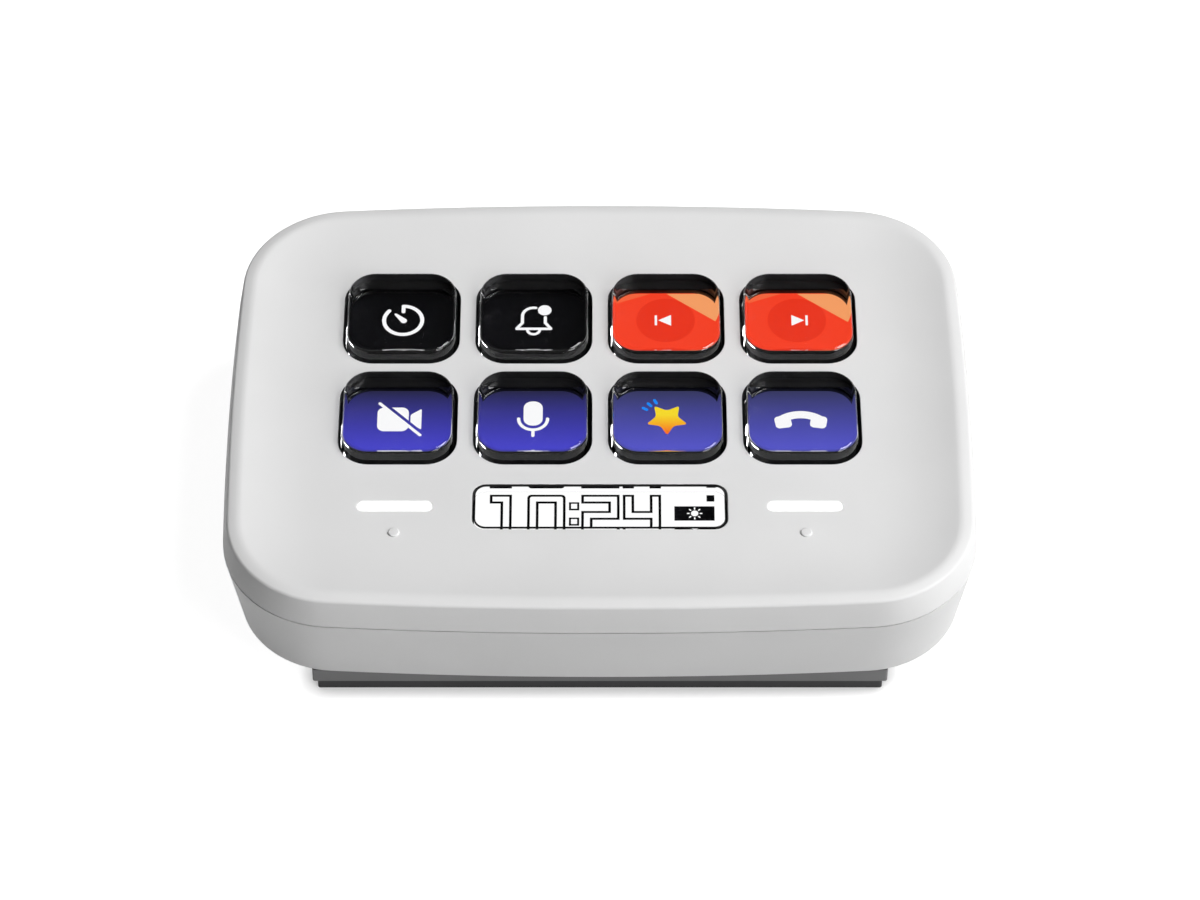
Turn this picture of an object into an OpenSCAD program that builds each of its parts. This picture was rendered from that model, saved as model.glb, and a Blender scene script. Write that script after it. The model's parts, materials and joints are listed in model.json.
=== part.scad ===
// Desktop macro keypad: eight clear display keys, an info window and two touch bars in a
// dished casing that leans back on a wedge-shaped plinth.
// Inside the casing everything is laid out in the face frame: x to the right, y back up the
// sloping face and z out of it, with z = 0 on the flat part of the face.

/* [Casing] */
// Room from the outer key caps to the widest outline, left and right
side_margin = 16.55; // [15.5:0.025:18]
// Room from the rear key row to the widest outline
rear_margin = 15.095; // [14.2:0.005:17]
// Room from the info window to the widest outline in front
front_margin = 16.08; // [15:0.02:18]
// Radius of the slightly bowed front and rear sides
front_bow_r = 650; // [420:10:1500]
// Radius of the slightly bowed left and right sides
side_bow_r = 610; // [420:10:1500]
// Radius of the upright corners
corner_r = 16; // [14:0.5:19]
// How far the face leans up towards the rear, in degrees
face_tilt = 4.1; // [2:0.1:7]
// Wall thickness of both shells
shell_wall = 1.8; // [1.4:0.1:2]
// Thickness of the face plate that the keys pass through
face_wall = 1.8; // [1.5:0.1:2.2]
// Height of the upper shell's side wall, from the parting line to the rim
upper_wall_h = 4.6; // [4.2:0.1:6]
// Height of the lower shell's side wall
lower_wall_h = 12.35; // [12.2:0.05:17]
// How far the lower shell's side wall draws in towards its floor
lower_draft = 1.85; // [0.5:0.05:3]
// How far the upper shell's side wall draws in towards the rim
upper_draft = 0.8; // [0.3:0.05:1.2]
// Visible groove between the two shells
parting_gap = 0.2; // [0.1:0.05:0.3]
// Small round at the lower shell's floor edge
floor_edge_r = 0.4; // [0.2:0.1:1]

/* [Rim and dish] */
// Height of the rim's outer edge above the flat of the face
rim_edge_h = 1.0; // [0.6:0.1:1.4]
// Height of the rim's crest above the flat of the face
rim_crest_h = 1.3; // [1.1:0.1:2]
// Distance from the widest outline in to the rim's crest
rim_crest_inset = 2.45; // [2:0.05:3]
// Distance from the widest outline in to where the dish runs out flat
dish_inset = 13; // [11:0.1:13.4]

/* [Plinth and foot] */
// Room from the wedge-shaped plinth to the casing's widest outline, left and right
plinth_side_room = 12.9; // [10:0.1:16]
// Room from the plinth's rear to the casing's widest outline
plinth_rear_room = 9.6; // [7:0.1:12]
// How far the plinth's front stands behind the lower shell's front edge
plinth_setback = 1.4; // [1:0.05:3]
// Height of the plinth at its front
plinth_front_h = 2.25; // [1.9:0.05:5]
// Corner radius of the plinth
plinth_corner_r = 0.4; // [0.2:0.1:6]
// Thickness of the plinth's top skin and the seat of its screws
plinth_skin = 1.1; // [1:0.1:1.3]
// Width of the plinth's outer wall and ribs
plinth_wall = 2.4; // [1.6:0.1:3]
// Thickness of the rubber foot pad
pad_t = 2.1; // [1:0.1:3]
// How far the foot pad stays inside the plinth's edge
pad_inset = 0.65; // [0.2:0.05:2]

/* [Keys] */
// Number of key columns
key_cols = 4; // [3:1:4]
// Distance between key centres, both ways
key_pitch = 19.25; // [17.5:0.05:22]
// Width of the face left between two key caps
key_land = 3.1; // [2.3:0.05:4]
// Corner radius of a key cap
key_corner_r = 4.1; // [3:0.1:6]
// Round of a key cap's top edge
key_edge_r = 0.7; // [0.3:0.05:1.8]
// How far a key cap's walls lean in above the face, in degrees
key_lean = 9; // [0:1:20]
// Height of a key cap above the flat of the face
key_proud = 1.95; // [1.2:0.05:2.2]
// Gap between a cap and its hole, on each side
key_gap = 0.4; // [0.1:0.05:0.5]
// Travel of a key
key_travel = 1.0; // [0.6:0.05:1.2]
// Width of the black collar under a cap, from its light well to its outer edge
collar_w = 1.43; // [1.2:0.01:1.5]
// Thickness of the collar
collar_t = 0.6; // [0.4:0.05:0.8]
// Free gap between the collar and the face plate above it
collar_gap = 0.1; // [0.05:0.01:0.2]
// How far the collar reaches out past the cap, on each side
collar_reach = 1.025; // [0.5:0.025:1.2]
// Thickness of the silicone mat's web
mat_web_t = 0.3; // [0.2:0.05:0.5]
// Height left in a silicone bellows at the end of the travel
bellows_rest = 0.05; // [0.02:0.01:0.2]
// Skin of the silicone bellows
bellows_skin = 0.6; // [0.4:0.05:0.7]

/* [Info window and touch bars] */
// How much shorter the info window is than two key pitches
window_short = 3.05; // [2.4:0.05:6]
// Depth of the info window
window_d = 7.75; // [6.5:0.05:8.6]
// Corner radius of the info window
window_corner_r = 1.7; // [1:0.1:3]
// Height of the info window above the flat of the face
window_proud = 0; // [0:0.05:0.6]
// Width of the face left between the front key row and the info window
window_land = 4.375; // [3.4:0.025:5]
// Thickness of the small info display that the window is bonded to
info_display_t = 1.35; // [1:0.05:1.6]
// How far the info display reaches out past the window, on each side
info_bezel = 2.0; // [1.2:0.1:2.2]
// Width of the foam gasket round the window, between the info display and the face plate
gasket_w = 1.4; // [0.8:0.1:1.6]
// Length of a light bar
bar_l = 10.5; // [8:0.1:12]
// Depth of a light bar
bar_d = 1.7; // [1.3:0.05:2.2]
// Height of a light bar above the flat of the face
bar_proud = 0.15; // [0.05:0.05:0.4]
// How far the light bars lie to the rear of the info window's centre line
bar_rise = 0.1; // [-0.5:0.05:0.5]
// Diameter of the raised dot below a light bar
dot_dia = 1.6; // [1.2:0.1:2.2]
// Height of the raised dot
dot_h = 0.3; // [0.1:0.05:0.5]
// Distance from a light bar down the face to its dot
dot_drop = 4.9; // [4:0.1:5.2]
// Gap between the info window and its hole, on each side
window_gap = 0.25; // [0.05:0.01:0.3]
// Gap between a light bar and its slot, on each side
bar_gap = 0.1; // [0.05:0.01:0.2]
// Thickness of the copper touch foils
foil_t = 0.1; // [0.05:0.01:0.15]
// Width of a copper touch foil round its light bar and dot
foil_w = 15; // [14:0.1:15.6]
// Diameter of a touch pin's spring-loaded barrel
touch_pin_dia = 1.2; // [0.8:0.1:1.6]

/* [Display and carrier] */
// Room from the display glass to the casing's widest outline, left and right
display_side_room = 12; // [11.6:0.05:12.2]
// Room from the display glass to the casing's widest outline, front and rear
display_end_room = 12.1; // [11.7:0.05:12.3]
// Thickness of the display glass
glass_t = 1.1; // [0.8:0.1:1.6]
// Thickness of the display's backlight tray
backlight_t = 1.65; // [1.4:0.05:2.2]
// Depth of the glass ledge in front that carries the flat cable
ledge_d = 2.5; // [2.2:0.1:3.2]
// Thickness of the contact board
contact_t = 0.4; // [0.3:0.05:0.6]
// Side clearance of the display in its carrier
display_gap = 0.2; // [0.1:0.05:0.3]
// Wall of the display carrier
carrier_wall = 1.9; // [1.5:0.1:2.2]
// Floor thickness of the display carrier
carrier_floor = 1.4; // [1:0.1:1.6]
// Thickness of the carrier's screw ears
ear_t = 1.6; // [1.2:0.1:2]
// Radius of a screw ear's round end
ear_r = 2.4; // [2.2:0.1:2.6]
// Distance of the side ears' screws out from the carrier's wall
side_ear_reach = 2.45; // [2.3:0.05:2.8]
// Distance of the front and rear ears' screws out from the carrier's wall
end_ear_reach = 2.65; // [2.5:0.05:3]
// Distance of the side ears' screws from the middle, up and down the face
side_ear_y = 12; // [8:0.5:15]
// Distance of the front and rear ears' screws from the middle
end_ear_x = 20; // [16:0.5:26]

/* [Main board] */
// Room from the main board to the casing's widest outline, left and right
board_side_room = 13.5; // [12.5:0.1:16]
// Room from the main board to the casing's widest outline in front
board_front_room = 13.35; // [12.5:0.05:15]
// Room from the main board to the casing's widest outline at the rear
board_rear_room = 5.85; // [5.3:0.05:6.5]
// Thickness of the main board
board_t = 1.2; // [1:0.1:1.6]
// Free height between the main board and the display carrier
board_room = 2.0; // [1.9:0.1:2.3]
// Distance of the board screws in from the main board's edges
board_screw_inset = 4.2; // [3.6:0.1:6]
// Diameter of the board's standoffs
standoff_dia = 5; // [4.4:0.1:5.6]
// Width of the processor chip
chip_w = 10; // [7:0.5:12]
// Height of the chips
chip_h = 0.9; // [0.7:0.1:1.4]

/* [Connector] */
// Width of the socket's metal shell
socket_w = 8.94; // [8.5:0.01:9.4]
// Height of the socket's metal shell
socket_h = 3.26; // [3.1:0.01:3.5]
// Length of the socket's metal shell
socket_l = 7.35; // [7:0.05:7.8]
// Sheet thickness of the socket's metal shell
socket_sheet = 0.3; // [0.2:0.01:0.4]
// How far the socket's mouth stays inside the rear wall's outer face
socket_recess = 0.35; // [0.2:0.05:0.8]
// Clearance round the socket in the rear wall
socket_gap = 0.25; // [0.15:0.05:0.4]

/* [Ballast] */
// Room from the steel ballast plate to the casing's widest outline, left and right
ballast_side_room = 12.5; // [12.5:0.1:18]
// Room from the steel ballast plate to the casing's widest outline, front and rear
ballast_end_room = 10.85; // [10.4:0.05:15]
// Thickness of the steel ballast plate
ballast_t = 1.5; // [1:0.1:1.6]
// Clearance round standoffs and bosses in the ballast plate
ballast_gap = 0.4; // [0.3:0.05:0.8]

/* [Fasteners] */
// Distance of the housing screws in from the widest outline, left and right
post_inset_x = 8.8; // [8.7:0.05:9.1]
// Distance of the housing screws in from the widest outline, front and rear
post_inset_y = 10.05; // [9.95:0.05:10.3]
// Diameter of the lower shell's screw posts
post_dia = 6.4; // [6:0.1:6.8]
// Diameter of the upper shell's screw bosses
boss_dia = 5.2; // [4.8:0.1:5.4]
// Level where a post meets its boss, below the flat of the face
post_joint_drop = 7.5; // [6:0.1:9]
// Diameter of the housing screws
housing_screw_dia = 2.5; // [2:0.1:2.6]
// Length of the housing screws
housing_screw_l = 9; // [7:0.5:9]
// Diameter of the carrier, board and plinth screws
small_screw_dia = 2; // [1.6:0.1:2.2]
// Length of the carrier screws
carrier_screw_l = 3.6; // [3:0.1:3.8]
// Length of the board screws
board_screw_l = 3; // [2.5:0.1:3.2]
// Length of the plinth screws
plinth_screw_l = 4.6; // [4:0.1:4.7]
// Distance of the plinth screws in from the plinth's sides
plinth_screw_inset = 10.6; // [9:0.1:14]
// Room from the front plinth screws to the casing's widest outline
plinth_screw_front_room = 8.35; // [8:0.05:8.7]
// Room from the rear plinth screws to the casing's widest outline
plinth_screw_rear_room = 16.35; // [15:0.05:19]
// Diameter of the lower shell's plinth screw bosses
plinth_boss_dia = 5; // [4.4:0.1:5.4]
// Height of those bosses above the lower shell's floor
plinth_boss_h = 1.9; // [1.6:0.1:2]
// Clearance between a screw and its hole, on the radius
screw_gap = 0.05; // [0.03:0.01:0.1]

/* [Hidden] */
key_rows = 2;
key_names = [for (row = [1:key_rows]) for (col = [1:key_cols]) str("r", row, "c", col)];
sides = [["left", -1], ["right", 1]];

$fn = 48;
eps = 0.01;
cut = 5; // how far a cutting shape runs past what it cuts

// The casing's size, from the keys and the info window out.
key_w = key_pitch - key_land;
window_w = (key_cols - 2) * key_pitch - window_short;
case_w = key_cols * key_pitch - key_land + 2 * side_margin;
case_d = rear_margin + key_rows * key_pitch - key_land + window_land + window_d + front_margin;
rear_row_y = case_d / 2 - rear_margin - key_w / 2;
window_y = case_d / 2 - front_margin - window_d / 2;
bar_x = (key_cols - 1) * key_pitch / 2;
bar_y = window_y - bar_rise;
display_w = case_w - 2 * display_side_room;
display_d = case_d - 2 * display_end_room;

// Levels in the face frame, from the rim down to the lower shell's floor.
parting_z = rim_edge_h - upper_wall_h;
case_bottom_z = parting_z - lower_wall_h;
face_under_z = -face_wall;
collar_top_z = face_under_z - collar_gap;
collar_bottom_z = collar_top_z - collar_t;
mat_top_z = collar_bottom_z - key_travel - bellows_rest;
contact_top_z = mat_top_z - mat_web_t;
info_top_z = contact_top_z + info_display_t;
glass_top_z = contact_top_z - contact_t;
backlight_top_z = glass_top_z - glass_t;
carrier_pocket_z = backlight_top_z - backlight_t;
carrier_bottom_z = carrier_pocket_z - carrier_floor;
board_top_z = carrier_bottom_z - board_room;
board_bottom_z = board_top_z - board_t;
floor_z = case_bottom_z + shell_wall;
post_joint_z = -post_joint_drop;
plinth_seat_z = case_bottom_z - plinth_skin;

// Where the face frame stands in the part's own frame.
face_lift = pad_t + plinth_front_h - case_bottom_z * cos(face_tilt)
    + (case_d / 2 - lower_draft - plinth_setback) * sin(face_tilt);
face_shift = parting_z * sin(face_tilt);

// The casing's outline: shallow arcs for the four sides and tighter arcs for the corners.
side_c = [case_w / 2 - side_bow_r, 0];
front_c = [0, case_d / 2 - front_bow_r];
side_to_corner = side_bow_r - corner_r;
front_to_corner = front_bow_r - corner_r;
centre_gap = norm(front_c - side_c);
centre_dir = (front_c - side_c) / centre_gap;
along_dir = (side_to_corner ^ 2 - front_to_corner ^ 2 + centre_gap ^ 2) / (2 * centre_gap);
across_dir = sqrt(side_to_corner ^ 2 - along_dir ^ 2);
corner_c = side_c + along_dir * centre_dir + across_dir * [-centre_dir[1], centre_dir[0]];
corner_start = atan2(corner_c[1] - side_c[1], corner_c[0] - side_c[0]);
corner_end = atan2(corner_c[1] - front_c[1], corner_c[0] - front_c[0]);
side_steps = 4;
corner_steps = 9;
front_steps = 5;
dish_steps = 5;

// Keys.
collar_out_w = key_w + 2 * collar_reach;
well_w = collar_out_w - 2 * collar_w;
well_r = key_corner_r - (key_w - well_w) / 2;
collar_out_r = key_corner_r + collar_reach;
key_span_x = (key_cols - 1) * key_pitch + collar_out_w;
key_span_y = (key_rows - 1) * key_pitch + collar_out_w;
// Inset of the edge round's centre, so that the round runs on from the leaning wall
key_round_inset = key_edge_r * cos(key_lean)
    + tan(key_lean) * (key_proud - key_edge_r * (1 - sin(key_lean)));
mat_margin = 0.8;
edge_steps = 4;
square_steps = 8;

// Display carrier and contact board.
post_gap = 0.35;
carrier_w = display_w + 2 * (display_gap + carrier_wall);
carrier_d = display_d + 2 * (display_gap + carrier_wall);
carrier_corner_r = 2;
board_corner_r = 2;
side_ear_x = carrier_w / 2 + side_ear_reach;
end_ear_y = carrier_d / 2 + end_ear_reach;
ears = concat(
    [for (sx = [-1, 1]) for (sy = [-1, 1]) [[sx * side_ear_x, sy * side_ear_y], [sx, 0]]],
    [for (sx = [-1, 1]) for (sy = [-1, 1]) [[sx * end_ear_x, sy * end_ear_y], [0, sy]]]
);
small_head_dia = small_screw_dia * 1.9;
small_head_h = 1.2;
housing_head_dia = 4.4;
housing_head_h = 1.8;
housing_seat_z = post_joint_z - housing_screw_l + 4;

// Light bars, foils and pins.
bar_lip = 0.8;
bar_lip_t = 0.5;
foil_margin = 1.6;
foil_d = dot_drop + bar_d / 2 + 2 * foil_margin;
foil_y = -bar_y + bar_d / 2 + foil_margin - foil_d / 2;
led_size = [1.6, 0.8, 0.6];
led_x = 2.7;

// Flat cables and their connectors.
flex_t = 0.15;
display_flex_w = display_w / 4;
contact_flex_w = display_w / 9;
flex_drop_z = board_top_z + 0.6;
connector_h = 1.2;
connector_d = 4;
display_connector_y = -(display_d / 2 - ledge_d - 1);
contact_flex_y = carrier_d / 2 + 0.25;
contact_flex_tab = 1.8;
contact_connector_y = contact_flex_y - contact_flex_tab;
connector_margin = 1;
display_flex_y = -display_d / 2 + ledge_d - 0.4;

// Places of the screws.
post_places = [for (sx = [-1, 1]) for (sy = [-1, 1])
    [sx * (case_w / 2 - post_inset_x), sy * (case_d / 2 - post_inset_y)]];
board_w = case_w - 2 * board_side_room;
board_d = case_d - board_front_room - board_rear_room;
board_mid_y = (board_front_room - board_rear_room) / 2;
board_places = [for (sx = [-1, 1]) for (sy = [-1, 1])
    [sx * (board_w / 2 - board_screw_inset),
        board_mid_y + sy * (board_d / 2 - board_screw_inset)]];

// Plinth, seen from above in the part's own frame.
plinth_w = case_w - 2 * plinth_side_room;
plinth_d = case_d - lower_draft - plinth_setback - plinth_rear_room;
plinth_screw_x = plinth_w / 2 - plinth_screw_inset;
plinth_places = [for (sx = [-1, 1])
    for (y = [plinth_screw_front_room - case_d / 2, case_d / 2 - plinth_screw_rear_room])
        [sx * plinth_screw_x, y]];
plinth_front_y = world_y(-(case_d / 2 - lower_draft - plinth_setback), case_bottom_z);
plinth_mid_y = plinth_front_y + plinth_d / 2;

// Connector.
socket_z = board_top_z + socket_h / 2;
rear_wall_y = case_d / 2 - lower_draft * (parting_z - socket_z) / lower_wall_h;
socket_mouth_y = rear_wall_y - socket_recess;

shell_grey = [0.88, 0.88, 0.88];
plinth_grey = [0.45, 0.45, 0.46];
dark_grey = [0.2, 0.2, 0.21];
deep_black = [0.05, 0.05, 0.06];
clear_blue = [0.35, 0.4, 0.75, 0.6];
circuit_green = [0.08, 0.3, 0.2];
steel_grey = [0.62, 0.63, 0.65];
bar_white = [0.97, 0.97, 0.97];
copper_tone = [0.8, 0.5, 0.3];

function world_y(y, z) = y * cos(face_tilt) - z * sin(face_tilt) + face_shift;

function polar(centre, radius, angle) = centre + radius * [cos(angle), sin(angle)];

// One quarter of the casing's outline, drawn in by a distance, from +x round to +y.
function case_quarter(inset) = concat(
    [for (i = [0:side_steps - 1])
        polar(side_c, side_bow_r - inset, corner_start * i / side_steps)],
    [for (i = [0:corner_steps - 1])
        polar(corner_c, corner_r - inset,
            corner_start + (corner_end - corner_start) * i / corner_steps)],
    [for (i = [0:front_steps])
        polar(front_c, front_bow_r - inset,
            corner_end + (90 - corner_end) * i / front_steps)]
);

// A quarter from +x to +y, repeated round all four quarters.
function all_quarters(quarter) = let (last = len(quarter) - 1) concat(
    [for (i = [0:last - 1]) quarter[i]],
    [for (i = [last:-1:1]) [-quarter[i][0], quarter[i][1]]],
    [for (i = [0:last - 1]) -quarter[i]],
    [for (i = [last:-1:1]) [quarter[i][0], -quarter[i][1]]]
);

function case_outline(inset) = all_quarters(case_quarter(inset));

function square_outline(width, radius, inset) = let (centre = width / 2 - radius) [
    for (corner = [[1, 1], [-1, 1], [-1, -1], [1, -1]], i = [0:square_steps])
        polar(centre * corner, radius - inset,
            (corner[1] > 0 ? 45 - 45 * corner[0] : 225 + 45 * corner[0])
                + 90 * i / square_steps)
];

// A place on the main board, from its middle (0) to its edges (-1 and 1).
function on_board(across, up) = [across * board_w / 2, board_mid_y + up * board_d / 2];

function at_level(outline, z) = [for (p = outline) [p[0], p[1], z]];

// How high the dish stands above the flat of the face, from its crest (0) to its foot (1).
function dish_height(t) = rim_crest_h * (1 - t) ^ 2;

function key_place(row, col) = [
    (col - (key_cols + 1) / 2) * key_pitch,
    rear_row_y - (row - 1) * key_pitch
];

module on_face() {
    translate([0, face_shift, face_lift]) rotate([face_tilt, 0, 0]) children();
}

// A closed skin through rings of points that all hold the same number of points.
module loft(rings) {
    count = len(rings[0]);
    last = len(rings) - 1;
    sides_of_band = [for (j = [0:last - 1]) for (i = [0:count - 1])
        let (a = j * count + i, b = j * count + (i + 1) % count)
            each [[a, a + count, b + count], [a, b + count, b]]];
    polyhedron(
        points = [for (ring = rings) each ring],
        faces = concat(
            [[for (i = [0:count - 1]) i]],
            [[for (i = [count - 1:-1:0]) last * count + i]],
            sides_of_band)
    );
}

module case_prism(inset, bottom, top) {
    translate([0, 0, bottom]) linear_extrude(top - bottom) polygon(case_outline(inset));
}

module round_rect(width, depth, radius) {
    square([width - 2 * radius, depth], center = true);
    square([width, depth - 2 * radius], center = true);
    for (sx = [-1, 1]) for (sy = [-1, 1])
        translate([sx * (width / 2 - radius), sy * (depth / 2 - radius)]) circle(radius);
}

module plate(width, depth, radius, bottom, top) {
    translate([0, 0, bottom]) linear_extrude(top - bottom) round_rect(width, depth, radius);
}

module slot(length, depth, bottom, top) {
    translate([0, 0, bottom]) linear_extrude(top - bottom) {
        square([length - depth, depth], center = true);
        for (sx = [-1, 1]) translate([sx * (length - depth) / 2, 0]) circle(depth / 2);
    }
}

module rod(place, dia, bottom, top) {
    translate([place[0], place[1], bottom]) cylinder(d = dia, h = top - bottom);
}

module brick(centre, size, bottom) {
    translate([centre[0] - size[0] / 2, centre[1] - size[1] / 2, bottom]) cube(size);
}

module at_keys() {
    for (row = [1:key_rows]) for (col = [1:key_cols])
        translate(concat(key_place(row, col), 0)) children();
}

module at_bars() {
    for (side = sides) translate([side[1] * bar_x, -bar_y, 0]) children();
}

// A screw whose head's bearing face is at z = 0, with its shank going up.
module screw(dia, length, head_dia, head_h) {
    slot_w = dia * 0.3;
    difference() {
        union() {
            translate([0, 0, -head_h / 2]) cylinder(d = dia, h = length + head_h / 2);
            translate([0, 0, -head_h]) cylinder(d = head_dia, h = head_h);
        }
        for (turn = [0, 90]) rotate(turn)
            brick([0, 0], [head_dia * 0.62, slot_w, head_h * 0.55 + cut], -head_h - cut);
    }
}

module small_screw(length) {
    screw(small_screw_dia, length, small_head_dia, small_head_h);
}

module upper_shell() {
    color(shell_grey) on_face() difference() {
        union() {
            difference() {
                loft(concat(
                    [at_level(case_outline(0), parting_z + parting_gap / 2)],
                    [at_level(case_outline(upper_draft), rim_edge_h)],
                    [for (i = [0:dish_steps]) let (t = i / dish_steps) at_level(
                        case_outline(rim_crest_inset + (dish_inset - rim_crest_inset) * t),
                        dish_height(t))]
                ));
                case_prism(shell_wall, parting_z - cut, face_under_z);
            }
            for (place = post_places) rod(place, boss_dia, post_joint_z, face_under_z + eps);
            for (ear = ears) rod(ear[0], 2 * ear_r - 0.3, contact_top_z, face_under_z + eps);
            at_bars() translate([0, -dot_drop, -eps])
                cylinder(d1 = dot_dia, d2 = dot_dia - dot_h, h = dot_h + eps);
        }
        for (place = post_places)
            rod(place, housing_screw_dia + 2 * screw_gap, post_joint_z - cut,
                housing_seat_z + housing_screw_l + 0.2);
        for (ear = ears)
            rod(ear[0], small_screw_dia + 2 * screw_gap, contact_top_z - cut,
                contact_top_z - contact_t - ear_t + carrier_screw_l + 0.15);
        at_keys() plate(key_w + 2 * key_gap, key_w + 2 * key_gap, key_corner_r + key_gap,
            face_under_z - cut, rim_crest_h + cut);
        translate([0, -window_y, 0])
            plate(window_w + 2 * window_gap, window_d + 2 * window_gap,
                window_corner_r + window_gap, face_under_z - cut, rim_crest_h + cut);
        at_bars() slot(bar_l + 2 * bar_gap, bar_d + 2 * bar_gap,
            face_under_z - cut, rim_crest_h + cut);
    }
}

module lower_shell() {
    lip_gap = 0.1;
    lip_t = 0.9;
    lip_outer = shell_wall + lip_gap;
    lip_root = 2.5;
    color(shell_grey) on_face() difference() {
        union() {
            difference() {
                loft([
                    at_level(case_outline(lower_draft + floor_edge_r), case_bottom_z),
                    at_level(case_outline(lower_draft + floor_edge_r * 0.3),
                        case_bottom_z + floor_edge_r * 0.3),
                    at_level(case_outline(lower_draft), case_bottom_z + floor_edge_r),
                    at_level(case_outline(0), parting_z - parting_gap / 2)
                ]);
                loft([
                    at_level(case_outline(lower_draft + shell_wall), floor_z),
                    at_level(case_outline(shell_wall), parting_z),
                    at_level(case_outline(shell_wall), parting_z + cut)
                ]);
            }
            difference() {
                case_prism(shell_wall - 0.3, parting_z - lip_root, parting_z - parting_gap / 2);
                case_prism(lip_outer + lip_t, parting_z - lip_root - cut, parting_z + cut);
            }
            difference() {
                case_prism(lip_outer, parting_z - lip_root / 2, face_under_z - 0.15);
                case_prism(lip_outer + lip_t, parting_z - lip_root - cut, parting_z + cut);
            }
            for (place = post_places) rod(place, post_dia, floor_z - eps, post_joint_z);
            for (place = board_places) rod(place, standoff_dia, floor_z - eps, board_bottom_z);
            for (place = plinth_places)
                rod(place, plinth_boss_dia, floor_z - eps, floor_z + plinth_boss_h);
        }
        for (place = post_places) {
            rod(place, housing_screw_dia + 2 * screw_gap, case_bottom_z, post_joint_z + cut);
            rod(place, housing_head_dia + 0.4, case_bottom_z - cut, housing_seat_z);
        }
        for (place = board_places)
            rod(place, small_screw_dia + 2 * screw_gap,
                board_top_z - board_screw_l - 0.15, board_bottom_z + cut);
        for (place = plinth_places)
            rod(place, small_screw_dia + 2 * screw_gap, case_bottom_z - cut, floor_z + cut);
        translate([0, rear_wall_y, socket_z]) rotate([90, 0, 0])
            plate(socket_w + 2 * socket_gap, socket_h + 2 * socket_gap,
                socket_h / 2 + socket_gap - eps, -cut, shell_wall + 1.5);
    }
}

module plinth_outline(inset) {
    translate([0, plinth_mid_y])
        round_rect(plinth_w - 2 * inset, plinth_d - 2 * inset, plinth_corner_r);
}

// All of the space below a level of the face frame.
module below_level(z) {
    size = 3 * case_w;
    on_face() translate([-size / 2, -size / 2, z - size]) cube(size);
}

module base_plinth() {
    rib_xs = [0, plinth_screw_x];
    color(plinth_grey) difference() {
        intersection() {
            translate([0, 0, pad_t]) linear_extrude(case_w) plinth_outline(0);
            below_level(case_bottom_z);
        }
        difference() {
            intersection() {
                translate([0, 0, pad_t - cut]) linear_extrude(case_w)
                    plinth_outline(plinth_wall);
                below_level(plinth_seat_z);
            }
            for (sx = [-1, 1]) for (x = rib_xs)
                translate([sx * x - plinth_wall / 2, -case_d, 0])
                    cube([plinth_wall, 2 * case_d, case_w]);
            on_face() for (place = plinth_places)
                rod(place, small_head_dia + 0.4 + 2 * shell_wall,
                    case_bottom_z - 2 * cut, case_bottom_z);
        }
        on_face() for (place = plinth_places) {
            rod(place, small_screw_dia + 2 * screw_gap, case_bottom_z - cut, case_bottom_z + cut);
            rod(place, small_head_dia + 0.4, case_bottom_z - 3 * cut, plinth_seat_z);
        }
    }
}

module foot_pad() {
    color(dark_grey) linear_extrude(pad_t) plinth_outline(pad_inset);
}

module info_window() {
    color(deep_black) on_face() translate([0, -window_y, 0])
        plate(window_w, window_d, window_corner_r, info_top_z, window_proud);
}

module info_display() {
    color(dark_grey) on_face() translate([0, -window_y, 0])
        plate(window_w + 2 * info_bezel, window_d + 2 * info_bezel, window_corner_r,
            contact_top_z, info_top_z);
}

module window_gasket() {
    inner_gap = 0.3;
    inner = [window_w + 2 * inner_gap, window_d + 2 * inner_gap];
    color(deep_black) on_face() translate([0, -window_y, 0]) difference() {
        plate(inner[0] + 2 * gasket_w, inner[1] + 2 * gasket_w,
            window_corner_r + inner_gap + gasket_w, info_top_z, face_under_z);
        plate(inner[0], inner[1], window_corner_r + inner_gap, info_top_z - cut, cut);
    }
}

module light_bar(side) {
    color(bar_white) on_face() translate([side * bar_x, -bar_y, 0]) {
        slot(bar_l, bar_d, face_under_z - foil_t - bar_lip_t / 2, bar_proud);
        slot(bar_l + 2 * bar_lip, bar_d + 2 * bar_lip,
            face_under_z - foil_t - bar_lip_t, face_under_z - foil_t);
    }
}

module touch_foil(side) {
    color(copper_tone) on_face() translate([side * bar_x, 0, 0]) difference() {
        translate([0, foil_y, 0])
            plate(foil_w, foil_d, 1, face_under_z - foil_t, face_under_z);
        translate([0, -bar_y, 0])
            slot(bar_l + 2 * bar_gap, bar_d + 2 * bar_gap, -cut, 0);
    }
}

module touch_pin(side) {
    foot_h = 0.9;
    color(copper_tone) on_face() translate([side * bar_x, -bar_y - dot_drop, 0]) {
        translate([0, 0, contact_top_z]) cylinder(d = touch_pin_dia, h = foot_h);
        translate([0, 0, contact_top_z])
            cylinder(d = touch_pin_dia * 0.6, h = face_under_z - foil_t - contact_top_z);
    }
}

module bar_leds() {
    color(bar_white) on_face() at_bars() for (sx = [-1, 1])
        brick([sx * led_x, 0], led_size, contact_top_z);
}

module key_cap(row, col) {
    color(clear_blue) on_face() translate(concat(key_place(row, col), 0)) loft(concat(
        [at_level(square_outline(key_w, key_corner_r, 0), collar_top_z)],
        [at_level(square_outline(key_w, key_corner_r, 0), 0)],
        [for (i = [0:edge_steps]) let (turn = key_lean + (90 - key_lean) * i / edge_steps)
            at_level(
                square_outline(key_w, key_corner_r, key_round_inset - key_edge_r * cos(turn)),
                key_proud - key_edge_r * (1 - sin(turn)))]
    ));
}

module key_collar(row, col) {
    color(deep_black) on_face() translate(concat(key_place(row, col), 0)) difference() {
        plate(collar_out_w, collar_out_w, collar_out_r, collar_bottom_z, collar_top_z);
        plate(well_w, well_w, well_r, collar_bottom_z - cut, collar_top_z + cut);
    }
}

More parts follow.
